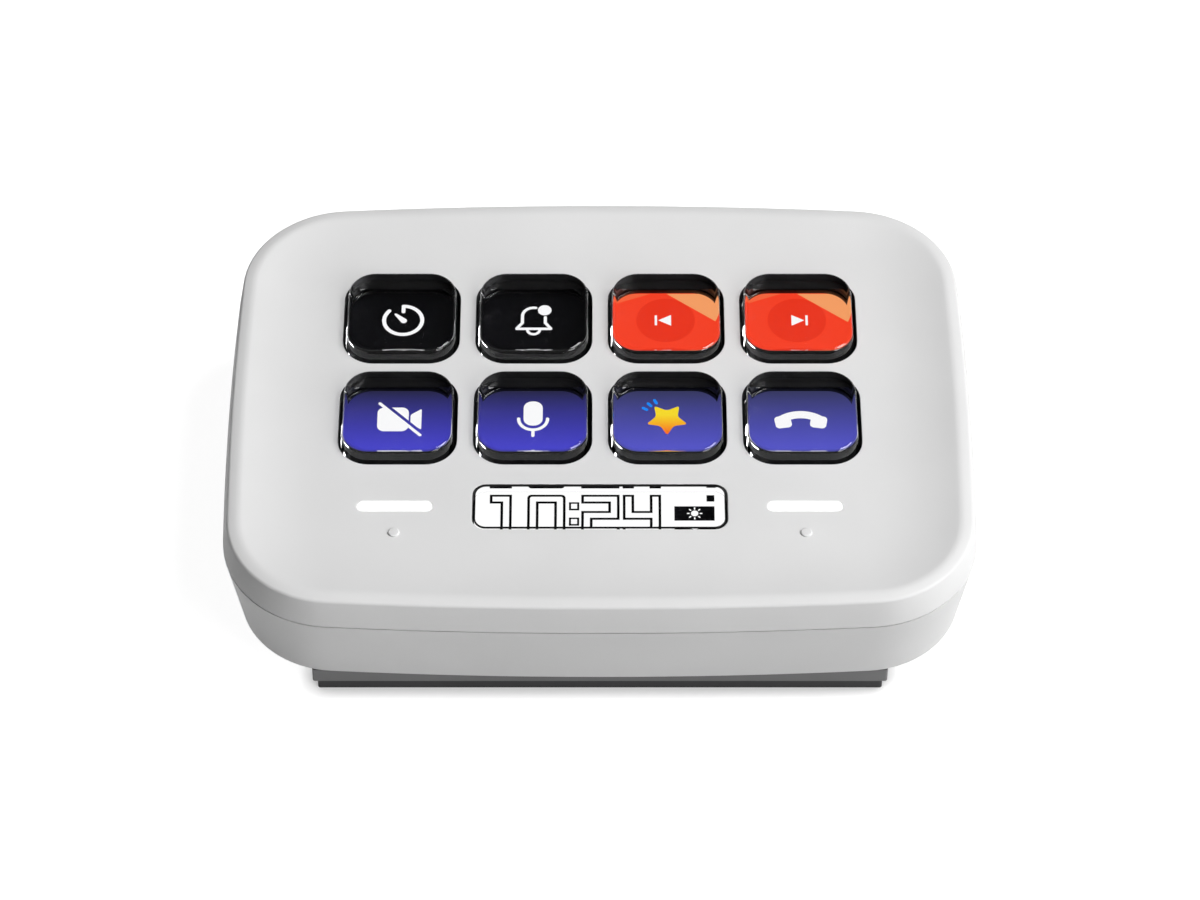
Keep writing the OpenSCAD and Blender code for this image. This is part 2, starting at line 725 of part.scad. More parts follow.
module key_bellows(row, col) {
    skin = bellows_skin;
    mid_z = (collar_bottom_z + mat_top_z) / 2;
    color(deep_black) on_face() translate(concat(key_place(row, col), 0)) difference() {
        union() {
            plate(collar_out_w - 0.2, collar_out_w - 0.2, collar_out_r - 0.1, mat_top_z, mid_z);
            plate(well_w + 2 * skin + 0.2, well_w + 2 * skin + 0.2, well_r + skin + 0.1,
                mat_top_z, collar_bottom_z);
        }
        plate(well_w + 0.2, well_w + 0.2, well_r + 0.1, mid_z - skin / 2, collar_bottom_z + cut);
        plate(collar_out_w - 0.2 - 2 * skin, collar_out_w - 0.2 - 2 * skin,
            collar_out_r - 0.1 - skin, mat_top_z - cut, mid_z - skin / 2);
    }
}

module key_mat() {
    color(dark_grey) on_face() difference() {
        translate([0, rear_row_y - (key_rows - 1) * key_pitch / 2, 0])
            plate(key_span_x + 2 * mat_margin, key_span_y + 2 * mat_margin, collar_out_r,
                contact_top_z, mat_top_z);
        at_keys() plate(well_w, well_w, well_r, contact_top_z - cut, mat_top_z + cut);
    }
}

module ear_shapes(bottom, top) {
    for (ear = ears) {
        rod(ear[0], 2 * ear_r, bottom, top);
        inward = ear[0] - ear[1] * (ear_r + 0.3);
        width = [2 * ear_r, 2 * ear_r, top - bottom];
        brick((ear[0] + inward) / 2,
            [width[0] - abs(ear[1][0]) * (ear_r - 0.3), width[1] - abs(ear[1][1]) * (ear_r - 0.3),
                width[2]], bottom);
    }
}

module contact_board() {
    color(circuit_green) on_face() difference() {
        union() {
            plate(carrier_w, carrier_d, carrier_corner_r, glass_top_z, contact_top_z);
            ear_shapes(glass_top_z, contact_top_z);
        }
        at_keys() plate(well_w, well_w, well_r, glass_top_z - cut, contact_top_z + cut);
        for (ear = ears)
            rod(ear[0], small_screw_dia + 2 * screw_gap, glass_top_z - cut, contact_top_z + cut);
        for (place = post_places)
            rod(place, post_dia + 2 * post_gap, glass_top_z - cut, contact_top_z + cut);
    }
}

// A flat cable bent in the (y, z) plane, as wide as asked, centred on x = 0.
module flat_cable(width, outline) {
    translate([-width / 2, 0, 0]) rotate([90, 0, 90]) linear_extrude(width) polygon(outline);
}

module contact_flex() {
    top = contact_top_z + flex_t;
    inner = contact_flex_y - flex_t;
    color(copper_tone) on_face() flat_cable(contact_flex_w, [
        [carrier_d / 2 - contact_flex_tab, contact_top_z],
        [inner, contact_top_z],
        [inner, flex_drop_z + flex_t],
        [contact_connector_y, flex_drop_z + flex_t],
        [contact_connector_y, flex_drop_z],
        [contact_flex_y, flex_drop_z],
        [contact_flex_y, top],
        [carrier_d / 2 - contact_flex_tab, top]
    ]);
}

module display_glass() {
    color(deep_black) on_face()
        plate(display_w, display_d, 1, backlight_top_z, glass_top_z);
}

module display_backlight() {
    color(steel_grey) on_face() translate([0, ledge_d / 2, 0])
        plate(display_w, display_d - ledge_d, 1, carrier_pocket_z, backlight_top_z);
}

module display_flex() {
    color(copper_tone) on_face() flat_cable(display_flex_w, [
        [display_flex_y, backlight_top_z],
        [-display_d / 2 + 0.3, backlight_top_z],
        [-display_d / 2 + 0.3, backlight_top_z - flex_t],
        [display_flex_y - flex_t, backlight_top_z - flex_t],
        [display_flex_y - flex_t, flex_drop_z],
        [display_connector_y, flex_drop_z],
        [display_connector_y, flex_drop_z + flex_t],
        [display_flex_y, flex_drop_z + flex_t]
    ]);
}

module display_carrier() {
    flex_slot = [display_flex_w + 2 * connector_margin, 1.6];
    color(deep_black) on_face() difference() {
        union() {
            plate(carrier_w, carrier_d, carrier_corner_r, carrier_bottom_z, glass_top_z);
            ear_shapes(glass_top_z - ear_t, glass_top_z);
        }
        plate(display_w + 2 * display_gap, display_d + 2 * display_gap, 1,
            carrier_pocket_z, glass_top_z + cut);
        brick([0, display_flex_y], [flex_slot[0], flex_slot[1], 3 * cut],
            carrier_bottom_z - cut);
        for (ear = ears)
            rod(ear[0], small_screw_dia + 2 * screw_gap, glass_top_z - ear_t - cut,
                glass_top_z + cut);
        for (place = post_places)
            rod(place, post_dia + 2 * post_gap, carrier_bottom_z - cut, glass_top_z + cut);
    }
}

module main_board() {
    color(circuit_green) on_face() difference() {
        translate([0, board_mid_y, 0])
            plate(board_w, board_d, board_corner_r, board_bottom_z, board_top_z);
        for (place = board_places)
            rod(place, small_screw_dia + 2 * screw_gap, board_bottom_z - cut, board_top_z + cut);
    }
}

module board_chips() {
    memory = [5, 6, chip_h];
    regulator = [3, 3, chip_h];
    crystal = [3.2, 2.5, chip_h];
    coil = [4, 4, chip_h * 1.6];
    color(deep_black) on_face() {
        brick(on_board(0.2, 0), [chip_w, chip_w, chip_h], board_top_z);
        brick(on_board(-0.2, 0.08), memory, board_top_z);
        brick(on_board(0.55, 0.54), regulator, board_top_z);
        brick(on_board(0.45, -0.23), crystal, board_top_z);
        brick(on_board(0.7, 0.54), coil, board_top_z);
        brick(on_board(-0.6, 0.34), memory, board_top_z);
    }
}

module flex_connectors() {
    color(bar_white) on_face() {
        brick([0, display_connector_y + connector_d / 2],
            [display_flex_w + 2 * connector_margin, connector_d, connector_h], board_top_z);
        brick([0, contact_connector_y - connector_d / 2],
            [contact_flex_w + 2 * connector_margin, connector_d, connector_h], board_top_z);
    }
}

// Lays a shape drawn in (x, z) behind the rear wall, from the socket's mouth inwards.
module from_mouth(start, length) {
    translate([0, socket_mouth_y - start, socket_z]) rotate([90, 0, 0])
        linear_extrude(length) children();
}

module usb_socket_shell() {
    back_t = 0.4;
    color(steel_grey) on_face() difference() {
        from_mouth(0, socket_l) round_rect(socket_w, socket_h, socket_h / 2 - eps);
        from_mouth(-cut, socket_l - back_t + cut)
            round_rect(socket_w - 2 * socket_sheet, socket_h - 2 * socket_sheet,
                socket_h / 2 - socket_sheet - eps);
    }
}

module usb_socket_tongue() {
    back_t = 0.4;
    block_l = 2;
    tongue = [6.7, 0.7];
    color(deep_black) on_face() {
        from_mouth(0.6, socket_l - back_t - 0.6) square(tongue, center = true);
        from_mouth(socket_l - back_t - block_l, block_l)
            round_rect(socket_w - 2 * socket_sheet - 0.06, socket_h - 2 * socket_sheet - 0.06,
                socket_h / 2 - socket_sheet - 0.05);
    }
}

module ballast_plate() {
    color(steel_grey) on_face() difference() {
        plate(case_w - 2 * ballast_side_room, case_d - 2 * ballast_end_room, board_corner_r,
            floor_z, floor_z + ballast_t);
        for (place = board_places)
            rod(place, standoff_dia + 2 * ballast_gap, floor_z - cut, floor_z + cut);
        for (place = plinth_places)
            rod(place, plinth_boss_dia + 2 * ballast_gap, floor_z - cut, floor_z + cut);
        for (place = post_places)
            rod(place, post_dia + 2 * ballast_gap, floor_z - cut, floor_z + cut);
    }
}

module housing_screws() {
    color(steel_grey) on_face() for (place = post_places)
        translate([place[0], place[1], housing_seat_z])
            screw(housing_screw_dia, housing_screw_l, housing_head_dia, housing_head_h);
}

module carrier_screws() {
    color(steel_grey) on_face() for (ear = ears)
        translate([ear[0][0], ear[0][1], glass_top_z - ear_t]) small_screw(carrier_screw_l);
}

module board_screws() {
    color(steel_grey) on_face() for (place = board_places)
        translate([place[0], place[1], board_top_z]) rotate([180, 0, 0])
            small_screw(board_screw_l);
}

module plinth_screws() {
    color(steel_grey) on_face() for (place = plinth_places)
        translate([place[0], place[1], plinth_seat_z]) small_screw(plinth_screw_l);
}

upper_shell();
lower_shell();
base_plinth();
foot_pad();
info_window();
info_display();
window_gasket();
bar_leds();
key_mat();
contact_board();
contact_flex();
display_glass();
display_backlight();
display_flex();
display_carrier();
main_board();
board_chips();
flex_connectors();
usb_socket_shell();
usb_socket_tongue();
ballast_plate();
housing_screws();
carrier_screws();
board_screws();
plinth_screws();
for (side = sides) {
    light_bar(side[1]);
    touch_foil(side[1]);
    touch_pin(side[1]);
}
for (row = [1:key_rows]) for (col = [1:key_cols]) {
    key_cap(row, col);
    key_collar(row, col);
    key_bellows(row, col);
}
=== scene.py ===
import json
from math import asin, atan2, cos, hypot, pi, radians, sin, tan

import bmesh
import bpy
from mathutils import Matrix, Vector


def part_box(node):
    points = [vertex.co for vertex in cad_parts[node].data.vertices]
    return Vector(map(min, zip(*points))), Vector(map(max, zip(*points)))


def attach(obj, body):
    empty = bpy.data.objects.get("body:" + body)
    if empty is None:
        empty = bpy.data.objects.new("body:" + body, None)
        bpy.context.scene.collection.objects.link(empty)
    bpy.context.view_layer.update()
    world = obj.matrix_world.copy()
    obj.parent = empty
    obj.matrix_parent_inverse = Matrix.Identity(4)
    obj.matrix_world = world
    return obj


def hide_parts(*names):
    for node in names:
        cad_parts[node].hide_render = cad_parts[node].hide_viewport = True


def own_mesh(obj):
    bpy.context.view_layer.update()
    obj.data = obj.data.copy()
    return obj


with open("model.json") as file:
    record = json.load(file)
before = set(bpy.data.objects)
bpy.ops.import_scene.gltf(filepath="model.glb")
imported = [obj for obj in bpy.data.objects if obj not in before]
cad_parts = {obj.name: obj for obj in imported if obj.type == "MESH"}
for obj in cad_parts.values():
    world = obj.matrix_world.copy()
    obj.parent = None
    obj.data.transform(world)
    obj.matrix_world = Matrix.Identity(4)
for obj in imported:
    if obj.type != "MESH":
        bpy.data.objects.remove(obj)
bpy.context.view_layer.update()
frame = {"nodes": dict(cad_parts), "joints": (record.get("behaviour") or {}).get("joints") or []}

# Shapes are drawn in millimetres in the face frame: x to the right, y up the sloping face
# and z out of it, with z = 0 on the flat of the face.
casing = {
    "halfWidth": 53.5,
    "halfDepth": 39.35,
    "sideBow": 610,  # radius of the bowed left and right sides
    "frontBow": 650,  # radius of the bowed front and rear
    "cornerRadius": 16,
    "partingHeight": -3.6,
    "partingGap": 0.2,
    "wall": 1.8,
    "rimEdge": (0.8, 1.0),  # distance in from the widest outline, height
    "root": 0.3,  # how far posts run into the floor that carries them
    "shallowRoot": 0.2,  # and bosses into the face plate
    "rimCrest": (2.45, 1.3),
    "dishInset": 13,
    "postPlace": (44.7, 29.3),
    "postJoint": -7.5,
}
tilt = asin(frame["joints"][0]["axis"][1])
rearCrest = casing["halfDepth"] - casing["rimCrest"][0]
faceShift = casing["partingHeight"] * sin(tilt)
faceLift = (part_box("upper_shell")[1].z * 1000 - rearCrest * sin(tilt)
            - casing["rimCrest"][1] * cos(tilt))
faceToWorld = (Matrix.Scale(0.001, 4) @ Matrix.Translation((0, faceShift, faceLift))
               @ Matrix.Rotation(tilt, 4, "X"))

keys = {
    "pitch": 19.25,
    "rearRow": 16.18,
    "width": 16.15,
    "corner": 4.1,
    "lean": 9,  # degrees that the walls lean in above the face
    "edgeRound": 0.7,
    "proud": 1.95,
    "strip": 6.35,  # from the middle to the black strip printed under the rear edge
    "bottom": -1.92,  # a little below the collar's top, because the cap is bonded to it
    "gap": 0.4,
}
window = {
    "centre": (0, -19.395),
    "width": 35.45,
    "depth": 7.75,
    "corner": 1.7,
    "proud": 0,
    "edge": 0.2,  # rounded edge, painted black as painted shade of the gap round the window
    "bottom": -2.5,
    "gap": 0.25,
}
lightBar = {
    "places": {"left": (-28.875, -19.295), "right": (28.875, -19.295)},
    "length": 10.5,
    "depth": 1.7,
    "proud": 0.15,
    "gap": 0.1,
    "flange": 0.8,
    "flangeTop": -1.9,
    "flangeBottom": -2.4,
}
displayTop = -4.25


# drawing tools

def keyPlace(row, col):
    return ((col - 2.5) * keys["pitch"], keys["rearRow"] - (row - 1) * keys["pitch"])


def vertsOf(geometry):
    return [g for g in geometry if isinstance(g, bmesh.types.BMVert)]


def roundCorners(bm, verts, radius, segments):
    bmesh.ops.bevel(bm, geom=verts, offset=radius, offset_type="OFFSET", segments=segments,
                    profile=0.5, affect="VERTICES", material=-1)


def roundEdges(bm, edges, radius, segments):
    bmesh.ops.bevel(bm, geom=edges, offset=radius, offset_type="OFFSET", segments=segments,
                    profile=0.5, affect="EDGES", material=-1)


def flatBlock(bm, width, depth, place):
    # a flat rectangle round the origin, then set in place; returns its corners
    before = set(bm.verts)
    bmesh.ops.create_grid(bm, x_segments=1, y_segments=1, size=0.5,
                          matrix=place @ Matrix.Diagonal((width, depth, 1, 1)))
    return [v for v in bm.verts if v not in before]


def sweep(bm, start, outward, profile, path):
    # carries a profile of (grow, height) points along arcs (centre, angle, steps) and
    # straight moves (x, y) until it meets its own start
    verts = [bmesh.ops.create_vert(bm, co=(start[0] + outward[0] * grow,
                                           start[1] + outward[1] * grow, height))["vert"][0]
             for grow, height in profile]
    edges = [bm.edges.new(pair) for pair in zip(verts, verts[1:])]
    front = verts + edges
    for move in path:
        if len(move) == 3:
            centre, angle, steps = move
            front = bmesh.ops.spin(bm, geom=front, cent=(centre[0], centre[1], 0),
                                   axis=(0, 0, 1), angle=angle, steps=steps)["geom_last"]
        else:
            chain = [g for g in front if isinstance(g, bmesh.types.BMEdge)]
            front = [g for g in bmesh.ops.extrude_edge_only(bm, edges=chain)["geom"]
                     if not isinstance(g, bmesh.types.BMFace)]
            bmesh.ops.translate(bm, verts=vertsOf(front), vec=(move[0], move[1], 0))
    bmesh.ops.remove_doubles(bm, verts=verts + vertsOf(front), dist=0.004)


def sweepCasing(bm, profile):
    # profile as (inset, height); the casing's outline is eight arcs that run into each other
    c = casing
    sideX = c["halfWidth"] - c["sideBow"]
    frontY = c["halfDepth"] - c["frontBow"]
    toCorner = c["sideBow"] - c["cornerRadius"], c["frontBow"] - c["cornerRadius"]
    apart = hypot(sideX, frontY)
    along = (toCorner[0] ** 2 - toCorner[1] ** 2 + apart ** 2) / (2 * apart)
    across = (toCorner[0] ** 2 - along ** 2) ** 0.5
    way = Vector((-sideX, frontY)) / apart  # from the side arc's centre to the front arc's
    corner = Vector((sideX, 0)) + along * way + across * Vector((-way.y, way.x))
    start = atan2(corner.y, corner.x - sideX)
    end = atan2(corner.y - frontY, corner.x)
    path = []
    for turn in (1, -1):
        path += [((turn * sideX, 0), 2 * start, 12),
                 ((turn * corner.x, turn * corner.y), end - start, 18),
                 ((0, turn * frontY), pi - 2 * end, 16),
                 ((-turn * corner.x, turn * corner.y), end - start, 18)]
    outward = (cos(start), -sin(start))
    sweep(bm, (sideX + c["sideBow"] * outward[0], c["sideBow"] * outward[1]), outward,
          [(-inset, height) for inset, height in profile], path)


def sweepRounded(bm, centre, width, depth, radius, profile, steps=10):
    # profile as (grow, height) around a rectangle with round corners
    u, v = width / 2 - radius, depth / 2 - radius
    path = []
    for x, y, move in ((u, v, (0, 2 * v)), (-u, v, (-2 * u, 0)), (-u, -v, (0, -2 * v)),
                       (u, -v, (2 * u, 0))):
        if hypot(*move) > 0.01:
            path.append(move)
        path.append(((centre[0] + x, centre[1] + y), pi / 2, steps))
    sweep(bm, (centre[0] + width / 2, centre[1] - v), (1, 0), profile, path)


def closeLevel(bm, height):
    # fills between all open edges at this height
    edges = [e for e in bm.edges
             if e.is_boundary and all(abs(v.co.z - height) < 1e-3 for v in e.verts)]
    verts = list({v for e in edges for v in e.verts})
    turn = Matrix.Rotation(0.01, 3, "Z")  # the fill goes wrong where holes lie level
    bmesh.ops.rotate(bm, verts=verts, matrix=turn)
    bmesh.ops.triangle_fill(bm, edges=edges, use_beauty=True, normal=(0, 0, 1))
    bmesh.ops.rotate(bm, verts=verts, matrix=turn.inverted())


def openHole(bm, centre, width, depth, radius, bottom, edgeRound=0.2, support=0.35,
             paintedShadeWalls=False):
    # the walls of such a hole take the piece's second material, black paint that stands in as
    # painted shade for the dark gap round the key or lens
    before = set(bm.faces)
    profile = [(edgeRound + support, 0)]
    for step in range(5):
        turn = pi / 2 * step / 4
        profile.append((edgeRound * (1 - sin(turn)), -edgeRound * (1 - cos(turn))))
    profile.append((0, bottom))
    sweepRounded(bm, centre, width, depth, radius, profile)
    if paintedShadeWalls:
        for face in bm.faces:
            if face not in before and min(v.co.z for v in face.verts) < -edgeRound / 2:
                face.material_index = 1


def makeBlock(bm, centre, width, depth, corner, edgeRound, bottom, top, steps=10):
    # an upright block with round corners and a rounded top edge
    before = set(bm.verts)
    place = Matrix.Translation((centre[0], centre[1], bottom))
    roundCorners(bm, flatBlock(bm, width, depth, place), corner, steps)
    foot = [f for f in bm.faces if any(v not in before for v in f.verts)]
    raised = bmesh.ops.extrude_face_region(bm, geom=foot)["geom"]
    crown = [g for g in raised if isinstance(g, bmesh.types.BMFace)]
    bmesh.ops.translate(bm, verts=vertsOf(raised), vec=(0, 0, top - bottom))
    if edgeRound:
        roundEdges(bm, list(crown[0].edges), edgeRound, 8)


def lathe(bm, place, profile, steps=32):
    # profile runs from the axis out and back to the axis, as (radius, height)
    verts = [bmesh.ops.create_vert(bm, co=(place[0] + r, place[1], z))["vert"][0]
             for r, z in profile]
    edges = [bm.edges.new(pair) for pair in zip(verts, verts[1:])]
    bmesh.ops.spin(bm, geom=verts + edges, cent=(place[0], place[1], 0), axis=(0, 0, 1),
                   angle=2 * pi, steps=steps, use_merge=True)
    fresh = {v for e in edges if e.is_valid for v in e.verts}
    for face in bm.faces:
        fresh.update(face.verts)
    bmesh.ops.remove_doubles(bm, verts=list(fresh), dist=0.0004)


def tube(bm, place, outer, bore, bottom, top, boreTop):
    lathe(bm, place, [(0, boreTop), (bore, boreTop), (bore, bottom), (outer, bottom),
                      (outer, top), (0, top)])


def rod(bm, place, radius, bottom, top):
    lathe(bm, place, [(0, bottom), (radius, bottom), (radius, top), (0, top)])


def combine(bm, tool, operation):
    bodies = []
    for part in (bm, tool):
        bmesh.ops.recalc_face_normals(part, faces=part.faces)
        mesh = bpy.data.meshes.new("work")
        part.to_mesh(mesh)
        part.free()
        bodies.append(bpy.data.objects.new("work", mesh))
        bpy.context.scene.collection.objects.link(bodies[-1])
    cutting = bodies[0].modifiers.new("cutting", "BOOLEAN")
    cutting.object = bodies[1]
    cutting.operation = operation
    cutting.solver = "EXACT"
    bpy.context.view_layer.update()
    result = bmesh.new()
    result.from_mesh(bodies[0].evaluated_get(
        bpy.context.evaluated_depsgraph_get()).data)
    for body in bodies:
        bpy.data.meshes.remove(body.data)
    return result


def finishPiece(bm, name, body, material, stands=(), sharp=40,
                place=faceToWorld):
    bmesh.ops.remove_doubles(bm, verts=bm.verts, dist=0.0003)
    bmesh.ops.recalc_face_normals(bm, faces=bm.faces)
    for face in bm.faces:
        face.smooth = True
    for edge in bm.edges:
        if len(edge.link_faces) == 2 and edge.calc_face_angle(0) > radians(sharp):
            edge.smooth = False
    bmesh.ops.transform(bm, matrix=place, verts=bm.verts)
    mesh = bpy.data.meshes.new(name)
    bm.to_mesh(mesh)
    bm.free()
    mesh.materials.append(material)
    piece = bpy.data.objects.new(name, mesh)
    bpy.context.scene.collection.objects.link(piece)
    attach(piece, body)
    if stands:
        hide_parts(*stands)
    return piece


# finishes

def tone(red, green, blue):
    # a screen colour, 0 to 255, as linear light
    def linear(c):
        return c / 12.92 if c <= 0.04045 else ((c + 0.055) / 1.055) ** 2.4
    return tuple(linear(c / 255) for c in (red, green, blue)) + (1,)


def startMaterial(name):
    material = bpy.data.materials.new(name)
    material.use_nodes = True
    tree = material.node_tree
    return material, tree, tree.nodes["Principled BSDF"]


def addGrain(tree, shader, size, depth, detail=3):
    # moulded or blasted grain: size and depth in metres
    coords = tree.nodes.new("ShaderNodeTexCoord")
    noise = tree.nodes.new("ShaderNodeTexNoise")
    noise.inputs["Scale"].default_value = 1 / size
    noise.inputs["Detail"].default_value = detail
    bump = tree.nodes.new("ShaderNodeBump")
    bump.inputs["Strength"].default_value = 1
    bump.inputs["Distance"].default_value = depth
    tree.links.new(coords.outputs["Object"], noise.inputs["Vector"])
    tree.links.new(noise.outputs["Fac"], bump.inputs["Height"])
    tree.links.new(bump.outputs["Normal"], shader.inputs["Normal"])
    return coords, noise


def addMottle(tree, shader, coords, colour, spread, size, socket="Base Color"):
    # slow drift of the colour over the surface
    noise = tree.nodes.new("ShaderNodeTexNoise")
    noise.inputs["Scale"].default_value = 1 / size
    noise.inputs["Detail"].default_value = 2
    ramp = tree.nodes.new("ShaderNodeValToRGB")
    low, high = ramp.color_ramp.elements
    low.position, high.position = 0.3, 0.7
    low.color = tuple(c * (1 - spread) for c in colour[:3]) + (1,)
    high.color = tuple(min(1, c * (1 + spread)) for c in colour[:3]) + (1,)
    tree.links.new(coords.outputs["Object"], noise.inputs["Vector"])
    tree.links.new(noise.outputs["Fac"], ramp.inputs["Fac"])
    tree.links.new(ramp.outputs["Color"], shader.inputs[socket])


def addGlossDrift(tree, shader, coords, low, high, size):
    noise = tree.nodes.new("ShaderNodeTexNoise")
    noise.inputs["Scale"].default_value = 1 / size
    spread = tree.nodes.new("ShaderNodeMapRange")
    spread.inputs["From Min"].default_value = 0.3
    spread.inputs["From Max"].default_value = 0.7
    spread.inputs["To Min"].default_value = low
    spread.inputs["To Max"].default_value = high
    tree.links.new(coords.outputs["Object"], noise.inputs["Vector"])
    tree.links.new(noise.outputs["Fac"], spread.inputs["Value"])
    tree.links.new(spread.outputs["Result"], shader.inputs["Roughness"])


def mouldedPlastic(name, colour, roughness, grain=0.00012, depth=0.000004,
                   spread=0.02, specular=0.5):
    material, tree, shader = startMaterial(name)
    shader.inputs["Specular IOR Level"].default_value = specular
    coords = addGrain(tree, shader, grain, depth)[0]
    addMottle(tree, shader, coords, colour, spread, 0.02)
    addGlossDrift(tree, shader, coords, roughness - 0.03, roughness + 0.03, 0.008)
    return material


def brushedMetal(name, colour, roughness):
    material, tree, shader = startMaterial(name)
    shader.inputs["Metallic"].default_value = 1
    coords, noise = addGrain(tree, shader, 0.0002, 0.000003)
    stretch = tree.nodes.new("ShaderNodeMapping")
    stretch.inputs["Scale"].default_value = (0.08, 1, 1)
    tree.links.new(coords.outputs["Object"], stretch.inputs["Vector"])
    tree.links.new(stretch.outputs["Vector"], noise.inputs["Vector"])
    addMottle(tree, shader, coords, colour, 0.04, 0.006)
    addGlossDrift(tree, shader, coords, roughness - 0.05, roughness + 0.05, 0.003)
    return material


def clearPlastic(name, tint, haze, shade=0.5):
    material, tree, shader = startMaterial(name)
    shader.inputs["Transmission Weight"].default_value = 1
    shader.inputs["IOR"].default_value = 1.49
    path = tree.nodes.new("ShaderNodeLightPath")  # its shadow is as light as real acrylic's
    shadow = tree.nodes.new("ShaderNodeMapRange")
    shadow.inputs["To Min"].default_value = 1
    shadow.inputs["To Max"].default_value = shade
    tree.links.new(path.outputs["Is Shadow Ray"], shadow.inputs["Value"])
    tree.links.new(shadow.outputs["Result"], shader.inputs["Alpha"])
    coords = addGrain(tree, shader, 0.004, 0.0000002, 0)[0]
    addMottle(tree, shader, coords, tint, 0.003, 0.01)
    addGlossDrift(tree, shader, coords, haze, haze + 0.006, 0.003)
    return material


def litPicture(name, low, high, bottom, top, strength=1.0):
    # a display picture: its colour runs from low to high between two world heights in y
    material, tree, shader = startMaterial(name)
    shader.inputs["Base Color"].default_value = (0.004, 0.004, 0.005, 1)
    shader.inputs["Roughness"].default_value = 0.25
    shader.inputs["Specular IOR Level"].default_value = 0.1  # a coated, matt display
    shader.inputs["Emission Strength"].default_value = strength
    coords = tree.nodes.new("ShaderNodeTexCoord")
    parts = tree.nodes.new("ShaderNodeSeparateXYZ")
    spread = tree.nodes.new("ShaderNodeMapRange")
    spread.inputs["From Min"].default_value = bottom
    spread.inputs["From Max"].default_value = top
    ramp = tree.nodes.new("ShaderNodeValToRGB")
    ramp.color_ramp.elements[0].color = low
    ramp.color_ramp.elements[1].color = high
    tree.links.new(coords.outputs["Object"], parts.inputs["Vector"])
    tree.links.new(parts.outputs["Y"], spread.inputs["Value"])
    tree.links.new(spread.outputs["Result"], ramp.inputs["Fac"])
    tree.links.new(ramp.outputs["Color"], shader.inputs["Emission Color"])
    return material


def litMark(name, colour, strength=1.0):
    # a plain mark on a display: the pixel grid shows as a faint ripple
    material, tree, shader = startMaterial(name)
    shader.inputs["Base Color"].default_value = (0.004, 0.004, 0.005, 1)
    shader.inputs["Roughness"].default_value = 0.25
    shader.inputs["Specular IOR Level"].default_value = 0.1
    shader.inputs["Emission Strength"].default_value = strength
    coords = tree.nodes.new("ShaderNodeTexCoord")
    addMottle(tree, shader, coords, colour, 0.01, 0.0001, "Emission Color")
    return material


finishes = {
    "shell": mouldedPlastic("shellPlastic", (0.77, 0.77, 0.77), 0.5, specular=0.3),
    "plinth": mouldedPlastic("plinthPlastic", (0.17, 0.17, 0.172), 0.55, spread=0.05),
    "rubber": mouldedPlastic("footRubber", (0.05, 0.05, 0.052), 0.75, 0.0003, 0.00001, 0.08),
    "silicone": mouldedPlastic("keySilicone", (0.005, 0.005, 0.0055), 0.6, spread=0.1,
                               specular=0.15),
    "blackSatin": mouldedPlastic("blackSatinPlastic", (0.004, 0.004, 0.0044), 0.35,
                                 spread=0.1, specular=0.2),
    "foam": mouldedPlastic("sealFoam", (0.012, 0.012, 0.012), 0.9, 0.0004, 0.00004, 0.2),
    "solderMask": mouldedPlastic("blackSolderMask", (0.008, 0.009, 0.009), 0.4, spread=0.1),
    "greenBoard": mouldedPlastic("greenSolderMask", (0.02, 0.12, 0.06), 0.35, spread=0.15),
    "chip": mouldedPlastic("chipResin", (0.02, 0.02, 0.022), 0.55, spread=0.15),
    "socketBody": mouldedPlastic("connectorNylon", (0.7, 0.66, 0.55), 0.45),
    "ledBody": mouldedPlastic("ledResin", (0.8, 0.8, 0.72), 0.3),
    "copper": brushedMetal("copperFilm", (0.85, 0.5, 0.3), 0.35),
    "steel": brushedMetal("brushedSteel", (0.55, 0.56, 0.58), 0.3),
    "screenGlass": mouldedPlastic("screenGlass", (0.004, 0.004, 0.005), 0.12, 0.002,
                                  0.0000002, 0.1, 0.1),
    "clearCap": clearPlastic("clearAcrylic", (0.985, 0.988, 1.0), 0.0),
    "clearLens": clearPlastic("clearLens", (0.99, 0.99, 0.99), 0.0),
    "lightGuide": litMark("diffusingAcrylic", (1.0, 1.0, 1.0), 1.15),
    "white": litMark("whiteMark", (1.0, 1.0, 1.0), 1.05),
    "black": litMark("blackMark", (0.0, 0.0, 0.0), 0.0),
}

cadFinishes = {
    "rubber": ["foot_pad"],
    "plinth": ["base_plinth"],
    "silicone": ["key_mat"],
    "blackSatin": ["display_carrier", "usb_socket_tongue"],
    "foam": ["window_gasket"],
    "solderMask": ["contact_board"],
    "greenBoard": ["main_board"],
    "chip": ["board_chips"],
    "socketBody": ["flex_connectors"],
    "ledBody": ["bar_leds"],
    "copper": ["touch_foil_left", "touch_foil_right", "touch_pin_left", "touch_pin_right",
               "contact_flex", "display_flex"],
    "screenGlass": ["display_glass", "info_display"],
    "steel": ["display_backlight", "usb_socket_shell", "ballast_plate", "housing_screws",
              "carrier_screws", "board_screws", "plinth_screws"],
}
keyNames = [(row, col) for row in (1, 2) for col in (1, 2, 3, 4)]
for row, col in keyNames:
    cadFinishes["silicone"].append(f"key_bellows_r{row}c{col}")
    cadFinishes["blackSatin"].append(f"key_collar_r{row}c{col}")
for finishName, nodeNames in cadFinishes.items():
    for nodeName in nodeNames:
        data = frame["nodes"][nodeName].data
        data.materials.clear()
        data.materials.append(finishes[finishName])
print("finishes made")


# silicone bellows, which a pressed key folds flat against the mat; here each only gets a mesh of
# its own

for row, col in keyNames:
    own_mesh(frame["nodes"][f"key_bellows_r{row}c{col}"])


# upper shell

